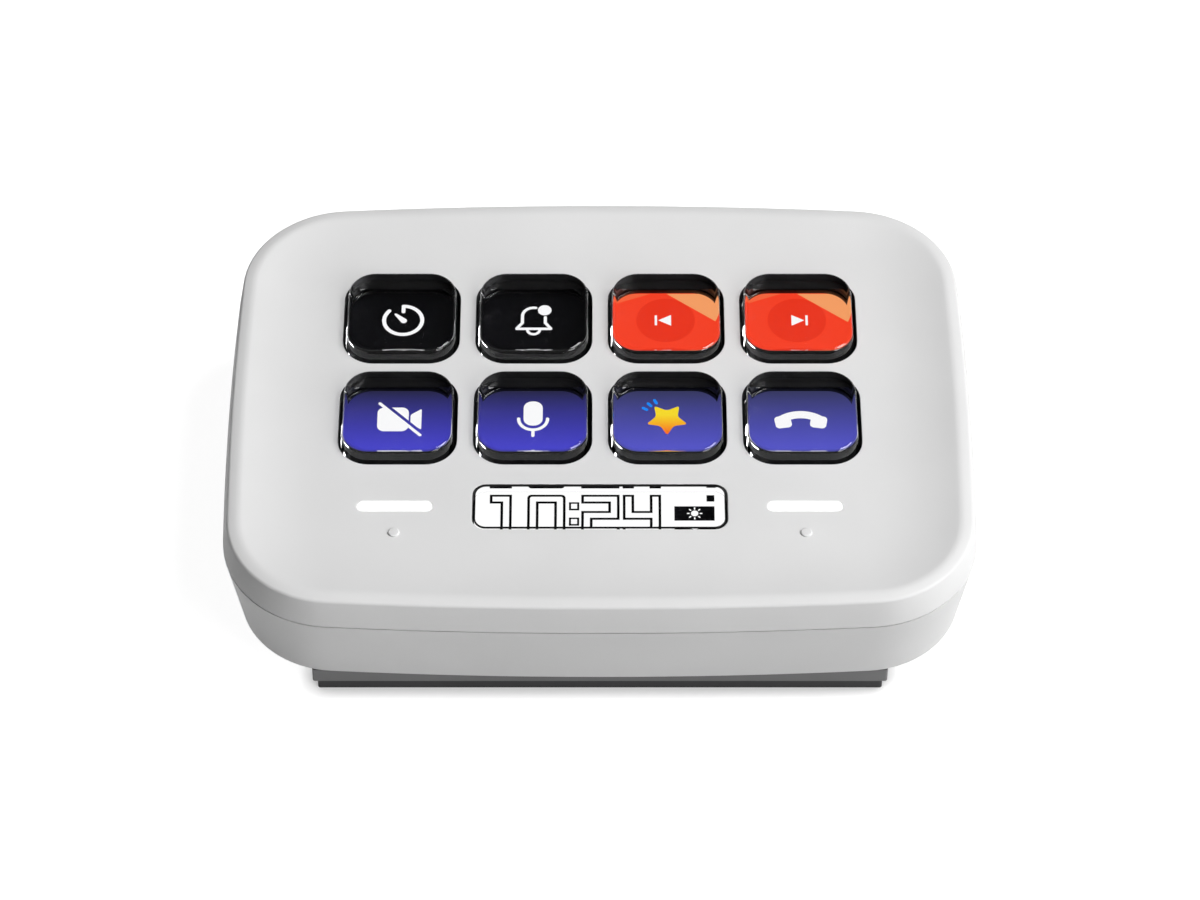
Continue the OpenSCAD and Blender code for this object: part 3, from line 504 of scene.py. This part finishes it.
shellParts = {
    "edgeRound": 0.35,  # outer edge of the rim
    "crestRound": 0.5,
    "dishRings": 12,
    "underside": -1.8,
    "holeRound": 0.1,
    "boss": {"radius": 2.6, "bore": 1.3, "boreTop": -3.3},
    "ears": {"radius": 2.25, "bore": 1.05, "bottom": -3.85, "boreTop": -2.1,
             "side": (46.05, 12), "end": (20, 32.0)},
    "dots": {"drop": 4.9, "radius": 0.8, "height": 0.28, "shoulder": 0.2},
}


def levelEdges(bm, height):
    return [e for e in bm.edges if all(abs(v.co.z - height) < 1e-4 for v in e.verts)]


def makeUpperShell():
    p = shellParts
    foot = casing["partingHeight"] + casing["partingGap"] / 2
    crestInset, crestHeight = casing["rimCrest"]
    profile = [(casing["wall"], p["underside"]), (casing["wall"], foot), (0.04, foot),
               (0.005, foot + 0.04), casing["rimEdge"], casing["rimCrest"]]
    for step in range(1, p["dishRings"] + 1):
        t = step / p["dishRings"]
        profile.append((crestInset + (casing["dishInset"] - crestInset) * t,
                        crestHeight * (1 - t) ** 2))
    bm = bmesh.new()
    sweepCasing(bm, profile)
    # key and window holes get black walls: painted shade for the gaps round the caps and the
    # lens
    for row, col in keyNames:
        openHole(bm, keyPlace(row, col), keys["width"] + 2 * keys["gap"],
                 keys["width"] + 2 * keys["gap"], keys["corner"] + keys["gap"],
                 p["underside"], p["holeRound"], paintedShadeWalls=True)
    openHole(bm, window["centre"], window["width"] + 2 * window["gap"],
             window["depth"] + 2 * window["gap"], window["corner"] + window["gap"],
             p["underside"], p["holeRound"], paintedShadeWalls=True)
    for place in lightBar["places"].values():
        openHole(bm, place, lightBar["length"] + 2 * lightBar["gap"],
                 lightBar["depth"] + 2 * lightBar["gap"],
                 lightBar["depth"] / 2 + lightBar["gap"], p["underside"], p["holeRound"])
    closeLevel(bm, 0)
    closeLevel(bm, p["underside"])
    roundEdges(bm, levelEdges(bm, casing["rimEdge"][1]), p["edgeRound"], 4)
    roundEdges(bm, levelEdges(bm, crestHeight), p["crestRound"], 4)
    root = p["underside"] + casing["shallowRoot"]
    for sx in (-1, 1):
        for sy in (-1, 1):
            x, y = casing["postPlace"]
            tube(bm, (sx * x, sy * y), p["boss"]["radius"], p["boss"]["bore"],
                 casing["postJoint"], root, p["boss"]["boreTop"])
            for x, y in (p["ears"]["side"], p["ears"]["end"]):
                tube(bm, (sx * x, sy * y), p["ears"]["radius"], p["ears"]["bore"],
                     p["ears"]["bottom"], root, p["ears"]["boreTop"])
    for x, y in lightBar["places"].values():
        dot = p["dots"]
        foot, top = dot["radius"] - dot["shoulder"], dot["height"] - dot["shoulder"]
        lathe(bm, (x, y - dot["drop"]), [(0, -0.15), (dot["radius"], -0.15)] + [
            (foot + dot["shoulder"] * cos(pi / 2 * s / 5),
             top + dot["shoulder"] * sin(pi / 2 * s / 5)) for s in range(6)] + [
            (0, dot["height"])])
    shell = finishPiece(bm, "upperShell", "casing", finishes["shell"],
                        ["upper_shell"])
    # second material: black painted shade on the key and window hole walls
    shell.data.materials.append(finishes["blackSatin"])


makeUpperShell()
print("upper shell made")


# lower shell

tub = {
    "draft": 1.85,
    "floorHeight": -15.95,
    "floorTop": -14.15,
    "floorRound": 0.4,
    "lip": {"outer": 1.9, "inner": 2.8, "top": -1.95, "root": -6.1},
    "post": {"radius": 3.2, "bore": 1.3, "headBore": 2.4, "headSeat": -12.5},
    "standoff": {"radius": 2.5, "bore": 1.05, "top": -11.6, "boreFoot": -13.55,
                 "places": [(x, y) for x in (-35.8, 35.8) for y in (-21.8, 29.3)]},
    "plinthBoss": {"radius": 2.5, "bore": 1.05, "top": -12.25,
                   "places": [(x, y) for x in (-30, 30) for y in (-31, 23)]},
    "socketHole": {"width": 9.44, "height": 3.76, "centre": -8.77, "reach": (36, 42)},
}


def makeLowerShell():
    top = casing["partingHeight"] - casing["partingGap"] / 2
    height = casing["partingHeight"] - tub["floorHeight"]
    lip, post, standoff, boss = (tub[k] for k in ("lip", "post", "standoff", "plinthBoss"))
    rootInset = tub["draft"] * (casing["partingHeight"] - lip["root"]) / height
    profile = [(tub["draft"] + 3, tub["floorHeight"])]
    for step in range(6):
        turn = pi / 2 * step / 5
        profile.append((tub["draft"] + tub["floorRound"] * (1 - sin(turn)),
                        tub["floorHeight"] + tub["floorRound"] * (1 - cos(turn))))
    profile += [(0.005, top - 0.04), (0.04, top), (lip["outer"], top),
                (lip["outer"], lip["top"]), (lip["inner"], lip["top"]),
                (lip["inner"], lip["root"]),
                (casing["wall"] + rootInset, lip["root"]),
                (casing["wall"] + tub["draft"], tub["floorTop"])]
    bm = bmesh.new()
    sweepCasing(bm, profile)
    closeLevel(bm, tub["floorHeight"])
    closeLevel(bm, tub["floorTop"])
    added, cut = bmesh.new(), bmesh.new()
    root, past = tub["floorTop"] - casing["root"], 1  # a cut runs past what it opens
    for sx in (-1, 1):
        for sy in (-1, 1):
            place = (sx * casing["postPlace"][0], sy * casing["postPlace"][1])
            rod(added, place, post["radius"], root, casing["postJoint"])
            rod(cut, place, post["headBore"], tub["floorHeight"] - past, post["headSeat"])
            rod(cut, place, post["bore"], post["headSeat"] - past / 2,
                casing["postJoint"] + past)
    for place in standoff["places"]:
        rod(added, place, standoff["radius"], root, standoff["top"])
        rod(cut, place, standoff["bore"], standoff["boreFoot"], standoff["top"] + past)
    for place in boss["places"]:
        rod(added, place, boss["radius"], root, boss["top"])
        rod(cut, place, boss["bore"], tub["floorHeight"] - past, boss["top"] + past)
    bm = combine(bm, added, "UNION")
    bm = combine(bm, cut, "DIFFERENCE")
    hole = tub["socketHole"]
    plug = bmesh.new()
    makeBlock(plug, (0, 0), hole["width"], hole["height"], hole["height"] / 2 - 0.01, 0,
              -hole["reach"][1], -hole["reach"][0])
    bmesh.ops.transform(plug, verts=plug.verts, matrix=Matrix.Translation(
        (0, 0, hole["centre"])) @ Matrix.Rotation(pi / 2, 4, "X"))
    bm = combine(bm, plug, "DIFFERENCE")
    return finishPiece(bm, "lowerShell", "casing", finishes["shell"],
                       ["lower_shell"])


makeLowerShell()
print("lower shell made")


# key caps, info window and light bars

def makeCap(bm, centre):
    lean, edgeRound = radians(keys["lean"]), keys["edgeRound"]
    level = keys["proud"] - edgeRound
    crown = edgeRound * cos(lean) + tan(lean) * (level + edgeRound * sin(lean))
    profile = [(0, keys["bottom"]), (0, 0)]
    for step in range(9):
        turn = lean + (pi / 2 - lean) * step / 8
        profile.append((edgeRound * cos(turn) - crown, level + edgeRound * sin(turn)))
    profile.append((-crown - 0.05, keys["proud"]))
    sweepRounded(bm, centre, keys["width"], keys["width"], keys["corner"], profile, 14)
    closeLevel(bm, keys["proud"])
    closeLevel(bm, keys["bottom"])
    edge = centre[1] + keys["strip"]
    geometry = list(bm.verts) + list(bm.edges) + list(bm.faces)
    bmesh.ops.bisect_plane(bm, geom=geometry, plane_co=(0, edge, 0), plane_no=(0, 1, 0))
    for face in bm.faces:
        if all(v.co.z < keys["bottom"] + 0.01 and v.co.y > edge - 0.01 for v in face.verts):
            face.material_index = 1


for row, col in keyNames:
    bm = bmesh.new()
    makeCap(bm, keyPlace(row, col))
    cap = finishPiece(bm, f"clearCap_r{row}c{col}", f"key_r{row}c{col}",
                      finishes["clearCap"], [f"key_cap_r{row}c{col}"], sharp=12)
    cap.data.materials.append(finishes["blackSatin"])

bm = bmesh.new()
makeBlock(bm, window["centre"], window["width"], window["depth"], window["corner"],
          window["edge"], window["bottom"], window["proud"])
# the lens's rounded top edge takes the black second material: a painted shade outline for the
# gap round the window
for face in bm.faces:
    heights = [v.co.z for v in face.verts]
    if min(heights) > window["proud"] - window["edge"] - 0.01 and (
            max(heights) - min(heights) > 0.001):
        face.material_index = 1
lens = finishPiece(bm, "infoWindow", "casing", finishes["clearLens"],
                   ["info_window"])
lens.data.materials.append(finishes["blackSatin"])

for side, place in lightBar["places"].items():
    bm = bmesh.new()
    makeBlock(bm, place, lightBar["length"], lightBar["depth"],
              lightBar["depth"] / 2 - 0.002, 0.12, lightBar["flangeTop"] - 0.2,
              lightBar["proud"], 8)
    makeBlock(bm, place, lightBar["length"] + 2 * lightBar["flange"],
              lightBar["depth"] + 2 * lightBar["flange"],
              lightBar["depth"] / 2 + lightBar["flange"] - 0.002, 0,
              lightBar["flangeBottom"], lightBar["flangeTop"], 8)
    finishPiece(bm, f"lightBar_{side}", "casing", finishes["lightGuide"],
                [f"light_bar_{side}"])
print("clear parts made")


# pictures on the display

picture = {
    "tile": 15.3,
    "tileCorner": 3.7,
    "tileTop": displayTop + 0.03,
    "markTop": displayTop + 0.06,
    "shift": 2.25,  # the marks sit this far to the rear of the cap's centre
}


def flatBar(bm, start, end, width, rounding=1, grow=1):
    # rounding from 0, square ends, to 1, half circles; grow lengthens it by its width
    way = Vector(end) - Vector(start)
    middle = Matrix.Translation(((start[0] + end[0]) / 2, (start[1] + end[1]) / 2, 0))
    verts = flatBlock(bm, way.length + grow * width, width,
                      middle @ Matrix.Rotation(atan2(way.y, way.x), 4, "Z"))
    if rounding:
        roundCorners(bm, verts, width * 0.498 * rounding, 6)


def flatArc(bm, centre, radius, width, start, sweep, rounded=True, steps=32):
    # angles in degrees, anticlockwise from the right
    angle = radians(start)
    ends = [bm.verts.new((centre[0] + r * cos(angle), centre[1] + r * sin(angle), 0))
            for r in (radius - width / 2, radius + width / 2)]
    edge = bm.edges.new(ends)
    bmesh.ops.spin(bm, geom=ends + [edge], cent=(centre[0], centre[1], 0),
                   axis=(0, 0, 1), angle=radians(sweep), steps=steps)
    if rounded:
        for angle in (radians(start), radians(start + sweep)):
            flatDisc(bm, (centre[0] + radius * cos(angle), centre[1] + radius * sin(angle)),
                     width / 2)


def flatDisc(bm, centre, radius, segments=24):
    bmesh.ops.create_circle(bm, cap_ends=True, segments=segments, radius=radius,
                            matrix=Matrix.Translation((centre[0], centre[1], 0)))


def flatShape(bm, corners, rounding=0):
    verts = [bm.verts.new((x, y, 0)) for x, y in corners]
    bm.faces.new(verts)
    if rounding:
        roundCorners(bm, verts, rounding, 5)


def finishMark(bm, name, place, bottom, top, material, slotName="display_glass"):
    # gives flat faces a thickness and lays them on the display
    raised = bmesh.ops.extrude_face_region(bm, geom=list(bm.faces))["geom"]
    bmesh.ops.translate(bm, verts=vertsOf(raised), vec=(0, 0, top - bottom))
    bmesh.ops.translate(bm, verts=bm.verts, vec=(place[0], place[1], bottom))
    return finishPiece(bm, name, "casing", material)


def drawTimer(bm):
    flatArc(bm, (0, 0), 2.8, 0.58, 90, -312)
    flatBar(bm, (0, 2.79), (0, 1.7), 0.56)
    flatShape(bm, [(-0.24, -0.42), (0.42, 0.24), (-1.12, 1.4), (-1.34, 1.18)], 0.1)
    flatDisc(bm, (0.08, -0.08), 0.47)


def drawBell(bm):
    flatArc(bm, (-0.1, 0.85), 1.65, 0.45, 180, -100)
    flatBar(bm, (-1.75, 0.85), (-1.76, -0.5), 0.45)
    flatBar(bm, (-1.75, -0.5), (-2.55, -1.6), 0.45)
    flatBar(bm, (1.6, 0.6), (1.61, -0.5), 0.45)
    flatBar(bm, (1.6, -0.5), (2.4, -1.6), 0.45)
    flatBar(bm, (-2.55, -1.68), (2.4, -1.69), 0.45)
    flatArc(bm, (-0.1, -1.85), 0.9, 0.42, 180, 180)
    flatDisc(bm, (1.5, 2.0), 1.0)


def drawSkip(bm, way):
    # the mark stands a little off the cap's middle, on its blunt side
    side = way * -0.35
    flatBar(bm, (side - 1.08 * way, -0.98), (side - 1.08 * way, 0.98), 0.34, 0, 0)
    corners = [(side - 0.72 * way, 0), (side + 1.15 * way, -1.06), (side + 1.15 * way, 1.06)]
    flatShape(bm, corners if way > 0 else corners[::-1], 0.06)


def drawCamera(bm):
    roundCorners(bm, flatBlock(bm, 4.5, 4.5, Matrix.Translation((-0.9, -0.05, 0))), 1.0, 6)
    flatShape(bm, [(1.62, -0.8), (3.2, -2.0), (3.2, 1.95), (1.62, 0.8)], 0.25)


def drawMicrophone(bm):
    flatBar(bm, (0, 2.0), (0, 0.15), 2.75, 0.92)
    flatArc(bm, (0, 0.05), 2.08, 0.48, 180, 180)
    flatBar(bm, (0, -2.1), (0, -3.15), 0.48)


def drawHandset(bm):
    flatArc(bm, (0, -3.75), 4.6, 1.35, 48, 84, False)
    for side in (-1, 1):
        turn = Matrix.Translation((side * 2.55, -0.55, 0)) @ Matrix.Rotation(
            radians(-9 * side), 4, "Z")
        roundCorners(bm, flatBlock(bm, 2.35, 2.25, turn), 0.6, 6)


def drawStar(bm):
    made = bmesh.ops.create_circle(bm, cap_ends=True, segments=10, radius=3.1)["verts"]
    bmesh.ops.scale(bm, verts=made[::2], vec=(0.52, 0.52, 1))
    roundCorners(bm, made, 0.45, 5)


def worldY(y, z):
    return (faceToWorld @ Vector((0, y, z))).y


drawings = {"timer": drawTimer, "bell": drawBell, "cameraOff": drawCamera,
            "microphone": drawMicrophone, "handset": drawHandset, "star": drawStar}
slate, indigo = tone(43, 43, 74), tone(84, 80, 236)
dusk, violet = tone(58, 60, 98), tone(98, 98, 232)
scarlet, coral, apricot, brick = (tone(255, 68, 40), tone(255, 104, 64),
                                  tone(255, 165, 105), tone(243, 55, 30))
screens = {
    (1, 1): ("timer", tone(8, 8, 9), tone(8, 8, 9)),
    (1, 2): ("bell", tone(8, 8, 9), tone(8, 8, 9)),
    (1, 3): ("skipBack", scarlet, scarlet),
    (1, 4): ("skipForward", scarlet, scarlet),
    (2, 1): ("cameraOff", indigo, slate),
    (2, 2): ("microphone", indigo, slate),
    (2, 3): ("star", violet, dusk),
    (2, 4): ("handset", violet, dusk),
}
for (row, col), (motif, low, high) in screens.items():
    x, y = keyPlace(row, col)
    half = picture["tile"] / 2
    bm = bmesh.new()
    makeBlock(bm, (x, y), picture["tile"], picture["tile"], picture["tileCorner"], 0,
              displayTop, picture["tileTop"])
    finishPiece(bm, f"screen_r{row}c{col}", "casing", litPicture(
        f"{motif}Screen", low, high, worldY(y - half, displayTop),
        worldY(y + half, displayTop)))
    place = (x, y + picture["shift"])
    z = picture["tileTop"], picture["markTop"]
    bm = bmesh.new()
    if motif in ("skipBack", "skipForward"):
        flatShape(bm, [(-7.6, 3.2), (-2.2, 5.3), (-7.6, 5.3)])
        finishMark(bm, f"{motif}Corner", place, z[0] - 0.01, z[0] + 0.01,
                   litMark(f"{motif}Corner", coral))
        bm = bmesh.new()
        flatShape(bm, [(0.2, 5.3), (7.6, -0.4), (7.6, 5.3)])
        finishMark(bm, f"{motif}Band", place, z[0] - 0.01, z[0] + 0.012,
                   litMark(f"{motif}Band", apricot))
        bm = bmesh.new()
        flatDisc(bm, (0, 0), 4.3, 48)
        finishMark(bm, f"{motif}Disc", place, z[0] - 0.01, z[0] + 0.015,
                   litMark(f"{motif}Disc", brick))
        bm = bmesh.new()
        drawSkip(bm, 1 if motif == "skipBack" else -1)
    else:
        drawings[motif](bm)
    if motif == "star":
        finishMark(bm, "starMark", place, *z, litPicture(
            "starGlow", tone(255, 110, 30), tone(255, 225, 45),
            worldY(place[1] - 2.6, displayTop), worldY(place[1] + 0.8, displayTop)))
        bm = bmesh.new()
        for angle in (116, 132, 148):
            a = radians(angle)
            flatBar(bm, (3.4 * cos(a), 3.4 * sin(a)), (4.0 * cos(a), 4.0 * sin(a)), 0.45)
        finishMark(bm, "starTicks", place, *z, litMark("tickBlue", tone(30, 140, 255)))
    else:
        finishMark(bm, f"{motif}Mark", place, *z, finishes["white"])
    if motif == "cameraOff":
        bm = bmesh.new()
        flatBar(bm, (-2.66, 3.13), (3.24, -2.87), 0.9)
        finishMark(bm, "slashGap", place, z[1] - 0.01, z[1] + 0.01, litPicture(
            "slashGap", low, high, worldY(y - half, displayTop),
            worldY(y + half, displayTop)))
        bm = bmesh.new()
        flatBar(bm, (-2.85, 2.94), (3.05, -3.06), 0.46)
        finishMark(bm, "slashBar", place, z[1], z[1] + 0.03, finishes["white"])
print("key pictures made")


# picture in the info window

clock = {
    "top": 3.35,  # top of the digits, up from the window's centre
    "height": 7.5,
    "width": 5.4,
    "outline": 1.6,
    "core": 0.84,
    "left": -16.1,
    "step": 5.85,
    "plane": window["bottom"] + 0.02,
}
# strokes of a digit, on a grid from the lower left (0, 0) to the upper right (1, 1)
digitStrokes = {
    "1": [(0.15, 1), (0.55, 1), (0.55, 0)],
    "0": [(0, 0), (0, 1), (1, 1), (1, 0), (0, 0)],
    "2": [(0, 1), (1, 1), (1, 0.5), (0, 0.5), (0, 0), (1, 0)],
    "4": [(0, 1), (0, 0.5), (1, 0.5), (1, 1), (1, 0)],
}


def drawDigit(bm, digit, left, width):
    inset = clock["outline"] / 2
    across, up = clock["width"] - 2 * inset, clock["height"] - 2 * inset
    foot = clock["top"] - clock["height"] + inset
    points = [(left + inset + u * across, foot + v * up) for u, v in digitStrokes[digit]]
    for start, end in zip(points, points[1:]):
        flatBar(bm, start, end, width, 0.75 if digit == "0" else 0)


bm = bmesh.new()
makeBlock(bm, window["centre"], window["width"] - 0.02, window["depth"] - 0.02,
          window["corner"], 0, window["bottom"] - 0.02, clock["plane"])
finishPiece(bm, "infoScreen", "casing", litMark(
    "infoWhite", (1.0, 1.0, 1.0), 1.06))
for layer, (width, material) in enumerate((("outline", finishes["black"]),
                                           ("core", finishes["white"]))):
    bm = bmesh.new()
    left = clock["left"]
    for glyph in "10:24":
        if glyph == ":":
            for height in (0.35, 0.72):
                y = clock["top"] - clock["height"] * (1 - height)
                size = 1.45 if width == "outline" else 0.85
                flatBar(bm, (left + 0.75, y - 0.01), (left + 0.75, y + 0.01), size, 0)
            left += 1.75
        else:
            drawDigit(bm, glyph, left, clock[width])
            left += clock["step"]
    front = -window["depth"] / 2 + 0.06  # the picture ends at the window's front wall
    geometry = list(bm.verts) + list(bm.edges) + list(bm.faces)
    bmesh.ops.bisect_plane(bm, geom=geometry, plane_co=(0, front, 0), plane_no=(0, -1, 0),
                           clear_outer=True)
    finishMark(bm, f"clockDigits_{width}", window["centre"], clock["plane"] - 0.01,
               clock["plane"] + 0.02 * (layer + 1), material)

bm = bmesh.new()
flatBar(bm, (10.45, -0.05), (16.1, -0.05), 2.6, 0, 0)
flatBar(bm, (15.0, 2.7), (16.1, 2.7), 1.15, 0, 0)
finishMark(bm, "infoFlag", window["centre"], clock["plane"] - 0.01, clock["plane"] + 0.02,
           finishes["black"])
bm = bmesh.new()
flatDisc(bm, (13.3, -0.05), 0.52)
for turn in range(8):
    a = turn * pi / 4
    flatBar(bm, (13.3 + 0.8 * cos(a), -0.05 + 0.8 * sin(a)),
            (13.3 + 1.0 * cos(a), -0.05 + 1.0 * sin(a)), 0.2)
finishMark(bm, "infoSun", window["centre"], clock["plane"] + 0.01, clock["plane"] + 0.04,
           finishes["white"])
print("info picture made")


# floor, light and camera

studio = {
    "floorSize": 6,
    "floorColour": (0.5, 0.5, 0.5, 1),
    "floorLiftWithPaintedShadow": (0.45, 0.94),  # added to the floor's own light, under the object and away; the lower value under the object is a painted contact shadow
    # how far from the object the painted contact shadow on the floor reaches
    "paintedShadowReach": 0.003,
    "wallLight": 0.25,
    "walls": ((0.15, 1), (0.5, 0.02)),
    "lookAt": (0, -0.00911, 0.02221),
    "distance": 0.6238,
    "elevation": 45.03,
    "lens": 131.61,
}
lamps = {
    # name: place, size in metres, power in watts
    "topSoft": ((0.7, 0, 1.2), 0.7, 15.4),
    "rightSoft": ((0.95, -0.95, 0.7), 0.8, 10.2),
    "sideSoft": ((1.3, 0, 0.7), 0.8, 1.5),
}


def seenDirectly(tree, glossy=True):
    # 1 for camera, glossy and transmission rays
    path = tree.nodes.new("ShaderNodeLightPath")
    total = path.outputs["Is Camera Ray"]
    for name in ("Is Glossy Ray", "Is Transmission Ray") if glossy else ():
        larger = tree.nodes.new("ShaderNodeMath")
        larger.operation = "MAXIMUM"
        tree.links.new(total, larger.inputs[0])
        tree.links.new(path.outputs[name], larger.inputs[1])
        total = larger.outputs[0]
    return total


def makeFloor():
    bm = bmesh.new()
    bmesh.ops.create_grid(bm, x_segments=8, y_segments=8, size=studio["floorSize"] / 2)
    mesh = bpy.data.meshes.new("floor")
    bm.to_mesh(mesh)
    bm.free()
    floor = bpy.data.objects.new("floor", mesh)
    bpy.context.scene.collection.objects.link(floor)
    material, tree, shader = startMaterial("paleFloor")
    shader.inputs["Base Color"].default_value = studio["floorColour"]
    shader.inputs["Roughness"].default_value = 0.9
    shader.inputs["Specular IOR Level"].default_value = 0
    shader.inputs["Emission Color"].default_value = (1, 1, 1, 1)
    # occlusion near the object dims the floor's glow: a painted contact shadow on the floor
    paintedShadowNearby = tree.nodes.new("ShaderNodeAmbientOcclusion")
    paintedShadowNearby.inputs["Distance"].default_value = studio["paintedShadowReach"]
    liftWithPaintedShadow = tree.nodes.new("ShaderNodeMapRange")
    liftWithPaintedShadow.inputs["From Min"].default_value = 0.5
    liftWithPaintedShadow.inputs["To Min"].default_value, liftWithPaintedShadow.inputs["To Max"].default_value = (
        studio["floorLiftWithPaintedShadow"])
    strength = tree.nodes.new("ShaderNodeMath")
    strength.operation = "MULTIPLY"
    tree.links.new(paintedShadowNearby.outputs["AO"], liftWithPaintedShadow.inputs["Value"])
    tree.links.new(liftWithPaintedShadow.outputs["Result"], strength.inputs[1])
    tree.links.new(seenDirectly(tree), strength.inputs[0])
    tree.links.new(strength.outputs[0], shader.inputs["Emission Strength"])
    mesh.materials.append(material)


def makeWorld():
    world = bpy.data.worlds.new("studioWorld")
    bpy.context.scene.world = world
    world.use_nodes = True
    tree = world.node_tree
    light = tree.nodes["Background"]  # white walls that darken upwards
    light.inputs["Strength"].default_value = studio["wallLight"]
    coords = tree.nodes.new("ShaderNodeTexCoord")
    parts = tree.nodes.new("ShaderNodeSeparateXYZ")
    ramp = tree.nodes.new("ShaderNodeValToRGB")
    for element, (height, level) in zip(ramp.color_ramp.elements, studio["walls"]):
        element.position = height
        element.color = (level, level, level, 1)
    tree.links.new(coords.outputs["Generated"], parts.inputs["Vector"])
    tree.links.new(parts.outputs["Z"], ramp.inputs["Fac"])
    tree.links.new(ramp.outputs["Color"], light.inputs["Color"])
    shown = tree.nodes.new("ShaderNodeBackground")
    shown.inputs["Color"].default_value = (1, 1, 1, 1)
    mix = tree.nodes.new("ShaderNodeMixShader")
    path = tree.nodes.new("ShaderNodeLightPath")
    tree.links.new(path.outputs["Is Camera Ray"], mix.inputs["Fac"])
    tree.links.new(light.outputs[0], mix.inputs[1])
    tree.links.new(shown.outputs[0], mix.inputs[2])
    tree.links.new(mix.outputs[0], tree.nodes["World Output"].inputs["Surface"])


def makeLamps():
    for name, (place, size, power) in lamps.items():
        lamp = bpy.data.lights.new(name, "AREA")
        lamp.shape = "DISK"
        lamp.size = size
        lamp.energy = power
        lampObject = bpy.data.objects.new(name, lamp)
        lampObject.location = place
        lampObject.rotation_euler = (Vector((0, 0, 0.02)) - Vector(place)).to_track_quat(
            "-Z", "Y").to_euler()
        bpy.context.scene.collection.objects.link(lampObject)


def makeCamera():
    camera = bpy.data.cameras.new("camera")
    camera.lens = studio["lens"]
    camera.sensor_width = 36
    camera.sensor_fit = "HORIZONTAL"
    camera.clip_start = 0.01
    cameraObject = bpy.data.objects.new("camera", camera)
    angle = radians(studio["elevation"])
    away = Vector((0, -cos(angle), sin(angle)))
    cameraObject.location = Vector(studio["lookAt"]) + studio["distance"] * away
    cameraObject.rotation_euler = (pi / 2 - angle, 0, 0)
    bpy.context.scene.collection.objects.link(cameraObject)
    bpy.context.scene.camera = cameraObject


makeFloor()
makeWorld()
makeLamps()
makeCamera()
bpy.context.scene.view_settings.view_transform = "Standard"
print("studio made")
